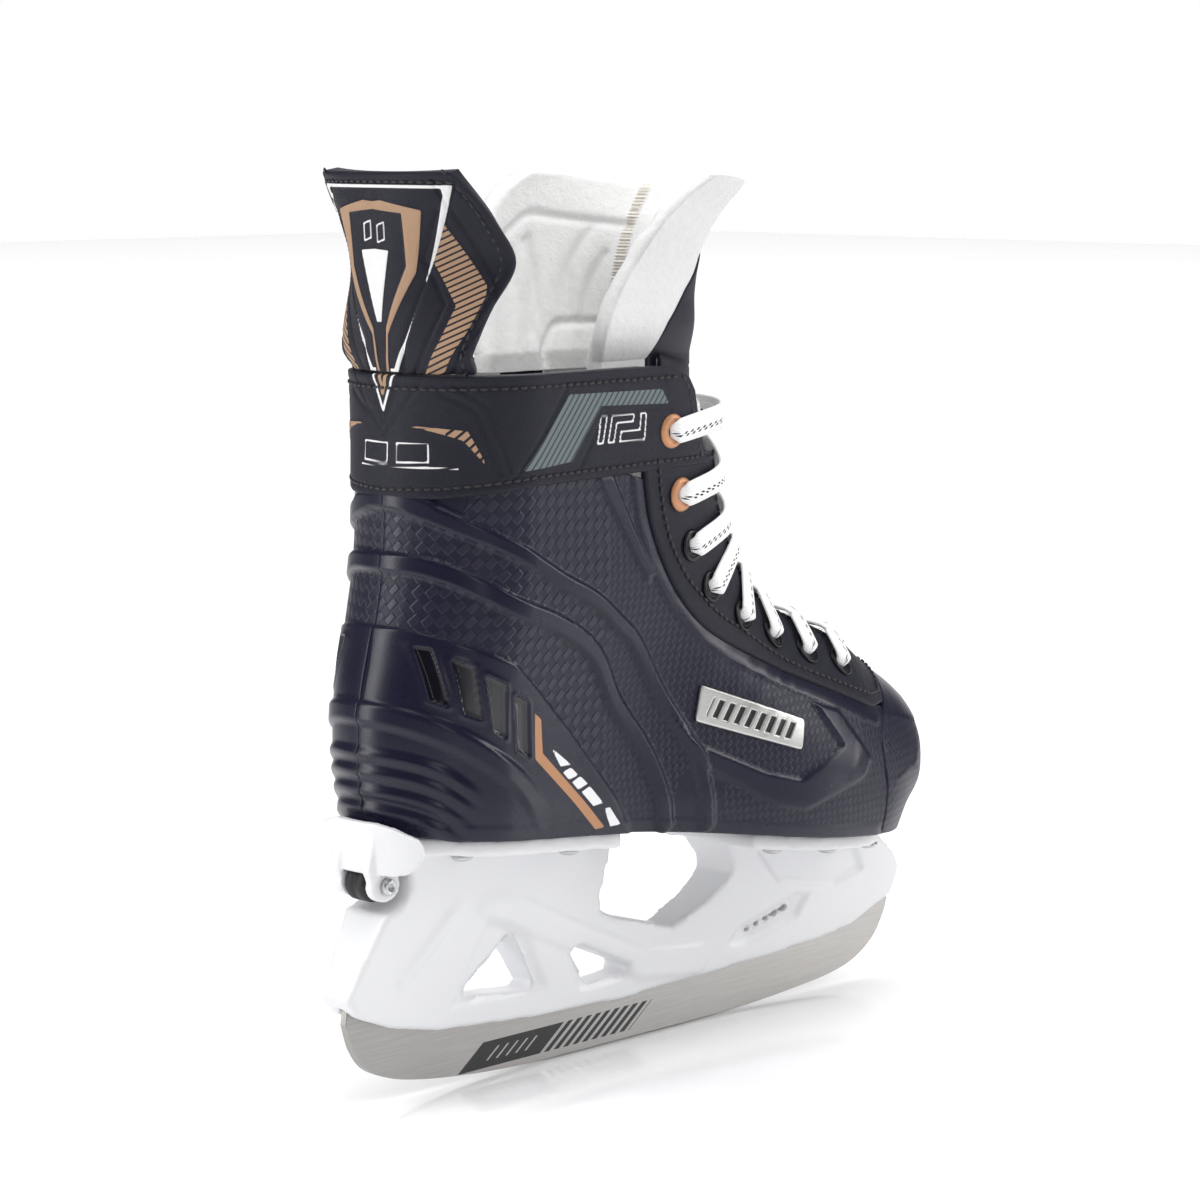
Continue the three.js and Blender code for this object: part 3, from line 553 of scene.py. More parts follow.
def settle(piece):
    """Applies a piece's modifiers."""
    evaluated = piece.evaluated_get(bpy.context.evaluated_depsgraph_get())
    mesh = bpy.data.meshes.new_from_object(evaluated)
    piece.modifiers.clear()
    old = piece.data
    piece.data = mesh
    mesh.name = piece.name
    bpy.data.meshes.remove(old)
    return piece


for side, sign in (("right", 1), ("left", -1)):
    points = shell_points * (1, sign, 1)
    normals = shell_normals * (1, sign, 1)
    piece = cut_grid(f"quarter_{side}", points, normals, shell_lift,
                     (cover > -2.2) & (shell_z < 211),
                     shell_measures, np.stack([shell_arc, shell_z], axis=-1) / 100,
                     flip=sign < 0)
    piece.data.materials.append(shell_material)
    settle(piece)
    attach(piece, "skate")
    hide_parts(f"shell_{side}")


# ---- Toe cap -----------------------------------------------------------------------------
# A hard plastic cap closes the toe. It is smooth and glossy on top and carries the carbon
# weave below a fine moulded line; its rear edge butts against the quarters and eyestays.


def spaced(length, step, edge=(0.0, 0.2, 0.5, 0.9, 1.4)):
    """Shares of a length: even steps, with fine ones at both ends for a rounded rim."""
    edge = np.array(edge)
    middle = np.linspace(edge[-1], length - edge[-1], max(3, int(length / step)))
    return np.concatenate([edge[:-1], middle, length - edge[:-1][::-1]]) / length


def panel(name, points, normals, lift, thickness, measures=None, rims="lrbt", rim=0.9,
          uv=None):
    """A closed panel on a grid of places: lifted, with rounded rims on the named edges."""
    rows, columns = points.shape[:2]
    across, upward = grid_runs(points), grid_runs(points, axis=0)
    edges = {"l": across, "r": across[:, -1:] - across, "b": upward, "t": upward[-1:] - upward}
    nearest = np.min([edges[k] for k in rims] or [across + 99], axis=0)
    drop = rim - np.sqrt(np.maximum(rim**2 - (rim - np.clip(nearest, 0, rim)) ** 2, 0))
    lift = np.broadcast_to(lift, (rows, columns)) - drop
    base = np.min(lift) - thickness if thickness else 0
    outer = points + normals * lift[..., None]
    inner = points + normals * np.minimum(base, lift - 0.4)[..., None]
    count = rows * columns
    faces = [grid_faces(rows, columns), grid_faces(rows, columns, count, flip=True)]
    index = np.arange(count).reshape(rows, columns)
    ring = np.concatenate([index[0, :-1], index[:-1, -1], index[-1, :0:-1], index[:0:-1, 0]])
    following = np.roll(ring, -1)
    faces.append(np.stack([ring, ring + count, following + count, following], axis=1))
    doubled = {key: np.concatenate([np.ravel(value)] * 2) for key, value in
               (measures or {}).items()}
    if uv is None:
        uv = np.stack([across, points[..., 2]], axis=-1) / 100
    uv = np.concatenate([uv.reshape(-1, 2)] * 2)
    return make_mesh(name, np.concatenate([outer.reshape(-1, 3), inner.reshape(-1, 3)]),
                     np.concatenate(faces), doubled, uv)


def grid_cross(points):
    return np.cross(np.gradient(points, axis=1), np.gradient(points, axis=0))


def normals_away(points, away):
    """Normals of a grid of places, on the side that looks along the away vectors."""
    normals = unit(grid_cross(points))
    return normals * np.sign(np.sum(normals * away, axis=-1, keepdims=True))


def cap_grid(columns):
    """Angles over the toe, with the lowest and highest v of the cap at each."""
    a = np.linspace(0.35, 1.65, columns)
    lower, upper = [], []
    v_all = np.linspace(0, 0.42, 300)
    top_of_cap = 150
    for angle in a:
        column = boot_point(v_all, np.full(v_all.shape, angle))
        ahead = column[:, 0] - cap_seam_x(column[:, 1])
        ahead = np.where(column[:, 2] < top_of_cap, ahead, -1)
        inside_cap = np.nonzero(ahead > 0)[0]
        lower.append(v_all[inside_cap[0]] if len(inside_cap) else np.nan)
        upper.append(v_all[inside_cap[-1]] if len(inside_cap) else np.nan)
    good = ~np.isnan(lower)
    return a[good], np.array(lower)[good], np.array(upper)[good]


cap_a, cap_low, cap_high = cap_grid(260)
cap_t = spaced(70, 1.0)
cap_A = np.tile(cap_a, (len(cap_t), 1))
cap_V = cap_low + (cap_high - cap_low) * cap_t[:, None]
cap_points = boot_point(cap_V, cap_A)
cap_normals = normals_away(cap_points, cap_points - (95, 0, 85))
cap_line_z = 97 + (cap_points[..., 0] - 161) * (109 - 97) / (108 - 161)
cap_smooth = cap_points[..., 2] - np.clip(cap_line_z, 97, 112)
cap_lift = 0.35 + 0.35 * step_up(cap_smooth, -0.5, 0.5)
cap_arc = grid_runs(cap_points)
unprinted = np.full(cap_A.shape, -9.0)
toe_cap = panel("toe_cap_shell", cap_points, cap_normals, cap_lift, 2.4,
                {"smooth": cap_smooth, "window": unprinted, "copper": unprinted,
                 "white": unprinted, "dim": np.zeros(cap_A.shape)}, rims="bt",
                uv=np.stack([cap_arc, cap_points[..., 2]], axis=-1) / 100)
toe_cap.data.materials.append(shell_material)
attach(toe_cap, "skate")
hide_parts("toe_cap")


# ---- Eyestays ----------------------------------------------------------------------------
# A strip of coated leather runs down each side of the laces and round their lower end. It
# is stitched to the quarter along both edges, and the eyelets are set in it.
THROAT_HALF = [(4, 33), (10, 31.5), (18, 30), (28, 27), (43, 20.5), (60, 19), (100, 19)]
lookup_shares = np.linspace(0, 1, 120)
lookup_v, lookup_u = np.meshgrid(lookup_shares, lookup_shares, indexing="ij")
lookup_x, lookup_z = side_place(lookup_v, lookup_u)


def locate(x, z):
    """The v and a of places in the side view, on the outer side of the boot."""
    x, z = np.asarray(x, float), np.asarray(z, float)
    flat_x, flat_z = x.ravel(), z.ravel()
    v, u = np.empty(flat_x.shape), np.empty(flat_x.shape)
    for k, (px, pz) in enumerate(zip(flat_x, flat_z)):
        nearest = np.argmin((lookup_x - px) ** 2 + (lookup_z - pz) ** 2)
        v[k], u[k] = lookup_v.flat[nearest], lookup_u.flat[nearest]
    e = 1e-4
    for _ in range(8):
        at_x, at_z = side_place(v, u)
        vx, vz = (side_place(v + e, u) - np.array([at_x, at_z])) / e
        ux, uz = (side_place(v, u + e) - np.array([at_x, at_z])) / e
        det = vx * uz - vz * ux
        det = np.where(np.abs(det) < 1e-6, 1e-6, det)
        rx, rz = flat_x - at_x, flat_z - at_z
        v = np.clip(v + (rx * uz - rz * ux) / det, -0.02, 1)
        u = np.clip(u + (vx * rz - vz * rx) / det, 0, 1)
    return v.reshape(x.shape), (np.arccos(1 - 2 * u) / np.pi).reshape(x.shape)


def top_at(x, wanted, low=100, high=245):
    """The height at which the form at x becomes narrower than wanted."""
    zs = np.linspace(low, high, 1200)
    narrow = np.nonzero(half_width(np.full(zs.shape, float(x)), zs) <= wanted)[0]
    return zs[narrow[0]] if len(narrow) else np.nan


throat_end_x, throat_end_half = 97, 19
throat_x = np.linspace(9, throat_end_x, 70)
throat_z = np.array([top_at(x, follow(THROAT_HALF, np.array([x]))[0]) for x in throat_x])
end_turn = np.linspace(0, np.pi / 2, 24)[1:]
throat_end = [(x, top_at(x, max(y, 0.5)))
              for x, y in zip(throat_end_x + throat_end_half * np.sin(end_turn),
                              throat_end_half * np.cos(end_turn))]
throat_xz = np.vstack([np.stack([throat_x, throat_z], axis=1), throat_end])
throat_xz = throat_xz[~np.isnan(throat_xz[:, 1]) & (throat_xz[:, 1] < 240)]
seam_xz = splined([p for p in EYESTAY_SEAM if p[0] <= 103], 12)
cap_seam = [(cap_seam_x(y) - 0.5, top_at(cap_seam_x(y) - 0.5, max(y, 0.5), 95, 150))
            for y in np.linspace(40, 0, 40)]
cap_seam = [p for p in cap_seam if p[1] > 111]
seam_xz = np.vstack([seam_xz[seam_xz[:, 0] < cap_seam[0][0] - 1], cap_seam])
throat_v, throat_a = locate(*throat_xz.T)
seam_v, seam_a = locate(*seam_xz.T)


def mirrored(grid):
    return grid[:, ::-1]


def clipped_above(v, a, height):
    z = boot_point(v, a)[..., 2]
    start = np.nonzero(z > height)[0]
    first = start[-1] if len(start) else 0
    return v[first:], a[first:]


def ruled(first, second, along, across):
    """v and a on the strip between two lines on the boot, each resampled by its length."""
    lines = []
    for v, a in (first, second):
        run = lengths(boot_point(v, a))
        lines.append((np.interp(along * run[-1], run, v), np.interp(along * run[-1], run, a)))
    (v0, a0), (v1, a1) = lines
    return (v0 + (v1 - v0) * across[:, None], a0 + (a1 - a0) * across[:, None])


stay_top = 209
throat_line = clipped_above(throat_v, throat_a, stay_top)
seam_line = clipped_above(seam_v, seam_a, stay_top)
along_stay = np.linspace(0, 1, 330)
stay_width = 24
across_stay = spaced(stay_width, 0.9)
stay_v, stay_a = ruled(seam_line, throat_line, along_stay, across_stay)
whole_v = np.hstack([stay_v, mirrored(stay_v)[:, 1:]])
whole_a = np.hstack([stay_a, 2 - mirrored(stay_a)[:, 1:]])
stay_points, stay_normals = boot_point(whole_v, whole_a), boot_normal(whole_v, whole_a)


def leather_finish(name, grain_scale=1.0, prints=True):
    finish = Finish(name, (0.014, 0.014, 0.018), 0.5, Specular_IOR_Level=0.28)
    pores = finish.cells(1100.0 * grain_scale, feature="DISTANCE_TO_EDGE")
    creases = finish.noise(260.0 * grain_scale, 5.0, roughness=0.65)
    tone = finish.noise(28.0, 3.0)
    colour = finish.blend(tone, (0.008, 0.0077, 0.0165), (0.013, 0.0125, 0.023))
    rough = 0.44 + creases * 0.12
    if prints:
        bar = (finish.measure("phase").fraction() - 0.5).size().rise(0.37, 0.3)
        wing = finish.measure("wing").rise(-0.1, 0.1) * bar
        copper = finish.measure("copper").rise(-0.1, 0.1).most(wing)
        white = finish.measure("white").rise(-0.1, 0.1)
        grey = finish.measure("grey").rise(-0.1, 0.1) * (0.25 + bar * 0.75)
        colour = finish.blend(grey, colour, (0.15, 0.185, 0.195))
        colour = finish.blend(copper, colour, (0.4, 0.255, 0.16))
        colour = finish.blend(white, colour, (0.8, 0.8, 0.8))
        rough = rough + (copper + white + grey) * 0.06
    height = pores.rise(0.0, 0.12) * 0.5 + creases * 0.7
    finish.put(Base_Color=colour, Roughness=rough,
               Normal=finish.bump(height, 0.00022, 0.6))
    return finish.material


plain_leather = leather_finish("coated_leather", prints=False)
stay_piece = panel("eyestay_band", stay_points, stay_normals, 1.15, 1.5)
stay_piece.data.materials.append(plain_leather)
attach(stay_piece, "skate")
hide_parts("eyestay_right", "eyestay_left")


# ---- Cuff --------------------------------------------------------------------------------
# A stitched leather cuff stiffens the ankle above the quarters. Its upper edge is the
# collar, and printed and embossed marks run round it.
CUFF_END = [  # z, x
    (206.3, 18), (214, 14), (222, 10.5), (232, 7.5), (237, 3.5), (239.8, -4), (241, -11)]


def at_height(a, z):
    """The v at which the surface at angle a reaches height z."""
    low, high = np.zeros(np.broadcast(a, z).shape), np.ones(np.broadcast(a, z).shape)
    for _ in range(30):
        middle = (low + high) / 2
        below = side_place(middle, (1 - np.cos(np.pi * a)) / 2)[1] < z
        low, high = np.where(below, middle, low), np.where(below, high, middle)
    return (low + high) / 2


cuff_base, cuff_height, cuff_run = 206.3, 34.7, 125
cuff_t = spaced(34.5, 0.8)
cuff_z = cuff_base + cuff_height * cuff_t
cuff_end_x = np.interp(cuff_z, *np.array(CUFF_END).T)
cuff_end_a = locate(cuff_end_x, cuff_z)[1]
cuff_s = spaced(cuff_run, 0.7)
cuff_s = np.concatenate([-cuff_s[::-1], cuff_s[1:]])
cuff_A = cuff_s * cuff_end_a[:, None]
cuff_drop = np.interp(np.abs(cuff_A), [0, 0.12, 0.3, 0.6], [6.0, 5.0, 1.5, 0])
cuff_drop = cuff_drop * (1 - cuff_t[:, None])
cuff_Z = np.broadcast_to(cuff_z[:, None], cuff_A.shape) - cuff_drop
cuff_V = at_height(cuff_A, cuff_Z)
cuff_points, cuff_normals = boot_point(cuff_V, cuff_A), boot_normal(cuff_V, cuff_A)
cuff_x, cuff_y, cuff_zz = np.moveaxis(cuff_points, -1, 0)
STRIPE_BAND = [(-74, 210), (-55, 234), (-11, 233.5), (-7.5, 228.5), (-40, 229.5), (-53, 212)]
CUFF_WEDGE = [(-99, 225), (-89, 223.5), (-84, 211), (-90, 220.5)]
cuff_phase = (cuff_x * 0.8 - cuff_zz * 0.6) / 2.1
grey = inside(cuff_x, cuff_zz, STRIPE_BAND)
wedge = inside(cuff_x, cuff_zz, CUFF_WEDGE)
MARK = [[(-41, 217), (-39.5, 226), (-37, 226), (-38.5, 217)],
        [(-36, 217), (-34.5, 226), (-24, 226), (-24.5, 223.5), (-32.3, 223.5), (-33.3, 217)],
        [(-30.5, 217), (-30, 220.5), (-21, 220.5), (-20.7, 226), (-18.2, 226), (-18.6, 217)]]
mark = np.max([inside(cuff_x, cuff_zz, m) for m in MARK], axis=0)
white = 0.35 - np.abs(mark)
mm_per_degree = 0.62
heel_run = np.degrees(np.arctan2(-cuff_y, -(cuff_x + 66))) * mm_per_degree
REAR_MARK = [[(-16, 213), (-16, 219), (-4, 219), (-4, 213)],
             [(0, 213), (0, 219), (12, 219), (12, 213)]]
rear = np.max([inside(heel_run - 6, cuff_zz, m) for m in REAR_MARK], axis=0)
white = np.maximum(white, 0.3 - np.abs(rear))
white = np.maximum(white, 0.35 - np.abs(cuff_zz - 211.4)
                   - 9 * step_up(np.abs(heel_run - 8), 20, 22))
back_s = np.abs(heel_run)
tip = (cuff_x < -90) * 1.0
white = np.where(tip > 0, np.maximum(white, 0.5 - distance_to(
    back_s, cuff_zz, [(5.6, 243), (0, 229.5)])[0]), white)
copper_tip = np.where(tip > 0, 0.7 - distance_to(back_s, cuff_zz, [(2.0, 243), (0, 235)])[0], -9)
chevrons = np.min([distance_to(back_s, cuff_zz, line)[0] for line in (
    [(9, 243), (0, 225.5)], [(19, 243), (9, 231), (0, 222)])], axis=0)
lines = np.min([distance_to(cuff_x, cuff_zz, line)[0] for line in (
    [(-99, 229), (-95, 236), (-87, 230), (-81, 209)], [(-92, 238), (-84, 231), (-78, 210)],
    [(-76, 208), (-56, 236.5), (-9, 236)], [(-50, 208), (-38, 227), (-6, 226)])], axis=0)
lines = np.where(tip > 0, np.minimum(lines, chevrons), lines)
emboss = -0.45 * np.exp(-(lines / 0.6) ** 2)
seam_sink = -0.35 * np.exp(-((cuff_zz - cuff_Z[0] - 3.2) / 0.7) ** 2)
seam_sink = seam_sink - 0.35 * np.exp(-((cuff_zz - 237.6) / 0.7) ** 2)
cuff_lift = 1.5 + emboss + seam_sink + 0.25 * step_up(np.maximum(grey, wedge), -0.3, 0.3)
printed_leather = leather_finish("printed_leather")
cuff_piece = panel("ankle_cuff", cuff_points, cuff_normals, cuff_lift, 2.6,
                   {"copper": np.maximum(np.where(cuff_x < -93, wedge, -9), copper_tip),
                    "wing": wedge, "white": white, "grey": grey, "phase": cuff_phase})
cuff_piece.data.materials.append(printed_leather)
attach(cuff_piece, "skate")
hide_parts("cuff")


# ---- Tendon guard ------------------------------------------------------------------------
# The tall guard behind the ankle is one moulded leather panel that flexes back at the
# collar. A white frame, a copper shield and hatched wings are printed on its relief.
GUARD_LEVELS = np.array([  # z, half width, x at the middle, x at the side edges
    (236, 28.2, -99.3, -86), (241.4, 29, -99.5, -87), (247, 30, -100, -91),
    (254, 32, -100.5, -89), (263, 34, -101.5, -84), (277, 36.5, -102.5, -76),
    (290, 36.5, -103.3, -85), (298, 34.5, -104, -92), (306, 30.5, -104.5, -99)])
guard_base, guard_height, guard_top = 241.6, 64.4, 306
guard_z = guard_base + guard_height * spaced(guard_height, 0.6)
guard_u = 2 * spaced(80, 0.6) - 1
guard_U, guard_Z = np.meshgrid(guard_u, guard_z)
guard_half, guard_middle, guard_edge = (
    follow(GUARD_LEVELS[:, [0, k]], guard_Z) for k in (1, 2, 3))


def guard_place(u, half, middle, edge, z):
    return np.stack([middle + (edge - middle) * np.abs(u) ** 2.2, -u * half, z], axis=-1)


guard_points = guard_place(guard_U, guard_half, guard_middle, guard_edge, guard_Z)
guard_normals = unit(grid_cross(guard_points) * (1, 1, 0.3))
guard_s = grid_runs(guard_points)
guard_s = guard_s - guard_s[:, -1:] / 2
s, z = np.abs(guard_s), guard_Z


def paired(points):
    """An outline that meets its mirror image at the middle of the back."""
    return inside(s, z, points)


frame_outer = paired([(-1, 302), (30.5, 302), (6.4, 242), (-1, 242)])
frame_inner = paired([(-1, 302.5), (26.5, 302.5), (26.8, 299), (18, 272), (16.5, 266), (5, 243),
                      (-1, 243)])
white_frame = np.minimum(np.minimum(frame_outer, -frame_inner),
                         np.where(z > 262, 9, np.where(s > 3.2, 9, -9)))
white_frame = np.maximum(white_frame, np.minimum(0.45 - np.abs(z - 301.4), 29.5 - s))
shield = paired([(-1, 296.5), (4, 297), (19, 294), (15, 274), (3.6, 254), (2.6, 242), (-1, 242)])
shield_core = paired([(-1, 294.3), (12, 293), (12, 276), (3.0, 256), (1.6, 242), (-1, 242)])
teardrop = paired([(-1, 281.5), (6, 281), (1.0, 258), (-1, 258)])
wing = paired([(24.6, 291), (37.3, 270), (37.0, 266.5), (31.6, 256), (21, 240), (15, 240),
               (22, 252), (27.6, 263.5), (20.4, 278)])
copper_marks = np.minimum(shield, -shield_core)
bars = np.max([inside(guard_s, z, b) for b in (
    [(-4.4, 284), (-4.4, 289.5), (-1.4, 290.5), (-1.4, 285)],
    [(1.4, 283.5), (1.4, 289), (4.6, 290), (4.6, 284.5)])], axis=0)
white_marks = np.max([white_frame, teardrop, 0.28 - np.abs(bars)], axis=0)
guard_lines = np.min([distance_to(s, z, line)[0] for line in (
    [(31.5, 303), (9.5, 252), (8, 242)], [(24, 303), (40, 272), (40, 264), (24, 240)],
    [(12, 241), (24, 264), (17.5, 279), (24, 294)])], axis=0)
relief = (-0.7 * np.exp(-(guard_lines / 0.7) ** 2) + 0.5 * step_up(shield, -0.5, 0.5)
          - 0.4 * step_up(shield_core, -0.4, 0.4) + 0.35 * step_up(teardrop, -0.3, 0.4)
          + 0.3 * step_up(white_frame, -0.3, 0.2) + 0.25 * step_up(wing, -0.3, 0.3)
          + 1.0 * step_up(frame_outer, -6, 8))
guard_seam_inset = 3.4
to_edge = np.minimum(guard_s[:, -1:] - s, guard_top - z)
relief = relief - 0.5 * np.exp(-((to_edge - guard_seam_inset) / 0.7) ** 2)
guard_piece = panel("heel_guard", guard_points, guard_normals, relief + 0.5, 3.8,
                    {"copper": copper_marks, "wing": wing, "white": white_marks,
                     "grey": np.full(s.shape, -9.0), "phase": (guard_Z - 0.45 * s) / 2.0},
                    rims="lrt", rim=1.5)
guard_piece.data.materials.append(printed_leather)
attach(guard_piece, "tendon_guard")
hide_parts("tendon_guard")


# ---- Runner ------------------------------------------------------------------------------
# A ground stainless steel blade, moulded into the holder. Its flanks are brushed along
# their length and carry a printed black flash with slanted bars.
RUNNER_EDGE = [(-121, 29), (-118, 20), (-112, 12.5), (-101, 7.5), (-87, 4.5), (-68, 2.2),
               (-45, 0.6), (-15, 0), (45, 0), (75, 0.5), (100, 2), (122, 4), (137, 7.5),
               (148, 14), (154, 22), (156.5, 28)]
RUNNER_TOP = [(150, 34), (132, 28), (114, 25.5), (82, 23.5), (41, 22.5), (6, 21.5),
              (-40, 23), (-83, 26.5), (-104, 31), (-120, 37.5)]
runner_ring = np.vstack([np.maximum(splined(RUNNER_EDGE, 8), (-200, 0)), splined(RUNNER_TOP, 5)])
before, after = np.roll(runner_ring, 1, axis=0), np.roll(runner_ring, -1, axis=0)
outward = unit(np.stack([(after - before)[:, 1], -(after - before)[:, 0]], axis=1))
runner_inset = runner_ring - outward * 0.35
ring_size = len(runner_ring)
runner_points, runner_faces = [], []
half_steel, bevel_start = 1.5, 1.2
for ring, y in ((runner_inset, -half_steel), (runner_ring, -bevel_start),
                (runner_ring, bevel_start), (runner_inset, half_steel)):
    runner_points.extend((x, y, z) for x, z in ring)
for layer in range(3):
    for k in range(ring_size):
        a, b = layer * ring_size + k, layer * ring_size + (k + 1) % ring_size
        runner_faces.append((a, a + ring_size, b + ring_size, b))
runner_faces.append(list(range(ring_size)))
runner_faces.append([3 * ring_size + k for k in reversed(range(ring_size))])
runner = make_mesh("steel_runner", runner_points, runner_faces, smooth=False)


def steel_finish():
    finish = Finish("ground_steel", (0.4, 0.385, 0.37), 0.3, Metallic=1.0)
    x, y, z = finish.axes()
    stretched = finish.node("ShaderNodeMapping", None, finish.place(), Scale=(0.06, 1.0, 4.0))
    streaks = finish.noise(900.0, 3.0, stretched)
    broad = finish.noise(60.0, 2.0, stretched)
    colour = finish.blend(streaks, (0.3, 0.29, 0.28), (0.46, 0.445, 0.43))
    slant = x - (z - 0.003) * 1.35
    band = (z > 0.0028) * (z < 0.0118) * (y.size() > 0.00135)
    flash = band * (slant > -0.0705) * (slant < -0.034)
    bar = ((slant + 0.034) * (1 / 0.0047)).fraction() < 0.56
    bars = band * (slant > -0.034) * (slant < 0.0135) * bar
    window = (slant > -0.064) * (slant < -0.041) * (z > 0.0052) * (z < 0.0094)
    lines = window * (((slant + 0.064) * (1 / 0.0046)).fraction() > 0.78)
    ink = (flash * (1 - lines)).most(bars)
    colour = finish.blend(ink, colour, (0.006, 0.006, 0.007))
    finish.put(Base_Color=colour, Metallic=1 - ink,
               Roughness=(0.26 + streaks * 0.12 + broad * 0.1) * (1 - ink) + ink * 0.35,
               Normal=finish.bump(streaks, 0.00006, 0.5))
    return finish.material


runner.data.materials.append(steel_finish())
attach(runner, "skate")
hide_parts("runner")


# ---- Blade holder and heel bracket -------------------------------------------------------
# One white nylon moulding with two towers, weight-saving windows and a slot. A bracket that
# is clipped over its heel end carries the little roller.
def white_plastic_finish():
    finish = Finish("white_nylon", (0.8, 0.8, 0.82), 0.3, Specular_IOR_Level=0.5)
    flow = finish.noise(14.0, 4.0)
    grain = finish.noise(1400.0, 2.0)
    scuffs = finish.noise(220.0, 6.0, roughness=0.75).rise(0.66, 0.8)
    colour = finish.blend(flow, (0.77, 0.775, 0.8), (0.82, 0.82, 0.83))
    colour = finish.blend(scuffs * 0.25, colour, (0.7, 0.7, 0.71))
    finish.put(Base_Color=colour, Roughness=0.24 + flow * 0.1 + scuffs * 0.1,
               Normal=finish.bump(grain * 0.4 + flow, 0.0002, 0.35))
    return finish.material


def moulded_copy(name, node, voxel, passes, shape=None):
    """A solid with the soft edges of a moulding, over the CAD piece's own shape."""
    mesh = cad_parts[node].data.copy()
    mesh.name = name
    mesh.materials.clear()
    mesh.transform(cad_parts[node].matrix_world)
    piece = bpy.data.objects.new(name, mesh)
    bpy.context.scene.collection.objects.link(piece)
    weld = piece.modifiers.new("weld", "WELD")
    weld.merge_threshold = 0.00002
    remesh = piece.modifiers.new("remesh", "REMESH")
    remesh.mode = "VOXEL"
    remesh.voxel_size = voxel / 1000
    remesh.use_smooth_shade = True
    soften = piece.modifiers.new("soften", "SMOOTH")
    soften.factor = 0.5
    soften.iterations = passes
    settle(piece)
    if shape:
        count = len(piece.data.vertices)
        places, normals = np.empty(count * 3), np.empty(count * 3)
        piece.data.vertices.foreach_get("co", places)
        piece.data.vertices.foreach_get("normal", normals)
        places, normals = places.reshape(-1, 3) * 1000, normals.reshape(-1, 3)
        places = shape(places, normals) / 1000
        piece.data.vertices.foreach_set("co", places.ravel())
        piece.data.update()
    piece.data.polygons.foreach_set("use_smooth", [True] * len(piece.data.polygons))
    return piece


TOWER_RIB = [(-68, 74), (-82, 60), (-101, 41)]
STRUT = [(-64, 63), (-56, 60), (-20, 43), (16, 27), (44, 24)]
HOLDER_HOLLOWS = [
    [(-64, 56), (-48, 54), (-33, 28), (-78, 27.5)],
    [(-25, 41), (-17, 43), (15, 28), (14, 23.5), (-16, 22.5)],
    [(60, 26), (66, 32), (96, 40), (104, 39), (98, 31), (70, 25)],
    [(72, 60), (84, 62), (126, 56), (134, 44), (118, 40), (86, 46)],
]


def holder_shape(places, normals):
    x, y, z = places.T
    flank = step_up(np.abs(normals[:, 1]), 0.5, 0.8) * step_up(-z, -68, -60)
    rib = step_up(2.2 - distance_to(x, z, TOWER_RIB)[0], -1.6, 1.6)
    strut = step_up(5.5 - distance_to(x, z, STRUT)[0], -1.2, 1.6)
    hollow = np.max([inside(x, z, h) for h in HOLDER_HOLLOWS], axis=0)
    move = (0.9 * rib + 1.1 * strut - 1.3 * step_up(hollow, -1, 1.5) * (1 - strut)) * flank
    places[:, 1] += np.sign(normals[:, 1]) * move
    return places


white_plastic = white_plastic_finish()
holder = moulded_copy("nylon_holder", "blade_holder", 1.25, 5, holder_shape)
holder.data.materials.append(white_plastic)
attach(holder, "skate")
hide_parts("blade_holder")
bracket = moulded_copy("roller_bracket", "heel_bracket", 0.55, 7)
bracket.data.materials.append(white_plastic)
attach(bracket, "skate")
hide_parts("heel_bracket")


# ---- Heel roller -------------------------------------------------------------------------
# A black rubber roller turns on a zinc-plated screw between the bracket's two ears. The
# screw has a socket head on the outer side and a hexagon nut on the inner side.
def turned(name, profile, centre, sides=48):
    """A closed ring of revolution about a cross-wise axis, from radius and y pairs."""
    profile = np.array(profile, float)
    angle = np.linspace(0, 2 * np.pi, sides, endpoint=False)
    radius, y = profile.T
    points = np.stack([
        centre[0] + radius[:, None] * np.cos(angle),
        centre[1] + np.broadcast_to(y[:, None], (len(y), sides)),
        centre[2] + radius[:, None] * np.sin(angle)], axis=-1)
    faces = []
    for i in range(len(profile)):
        following = (i + 1) % len(profile)
        if radius[i] < 1e-6 and radius[following] < 1e-6:
            continue
        for j in range(sides):
            k = (j + 1) % sides
            faces.append((i * sides + j, following * sides + j, following * sides + k,
                          i * sides + k))
    piece = make_mesh(name, points.reshape(-1, 3), faces)
    weld = piece.modifiers.new("weld", "WELD")
    weld.merge_threshold = 0.000001
    settle(piece)
    work = bmesh.new()
    work.from_mesh(piece.data)
    bmesh.ops.recalc_face_normals(work, faces=work.faces)
    work.to_mesh(piece.data)
    work.free()
    return piece


def rubber_finish(name, colour, rough):
    finish = Finish(name, colour, rough, Specular_IOR_Level=0.35)
    grain = finish.noise(1600.0, 3.0)
    marks = finish.noise(180.0, 5.0, roughness=0.7)
    finish.put(Base_Color=finish.blend(marks, colour, tuple(c * 1.9 + 0.006 for c in colour)),
               Roughness=rough - 0.08 + marks * 0.18, Normal=finish.bump(grain, 0.0001, 0.5))
    return finish.material


def zinc_finish():
    finish = Finish("zinc_plate", (0.62, 0.63, 0.64), 0.3, Metallic=1.0)
    spangle = finish.cells(900.0)
    stains = finish.noise(300.0, 4.0)
    finish.put(Base_Color=finish.blend(stains, (0.5, 0.51, 0.53), (0.7, 0.7, 0.7)),
               Roughness=0.22 + spangle * 0.15 + stains * 0.12,
               Normal=finish.bump(stains, 0.00005, 0.4))
    return finish.material


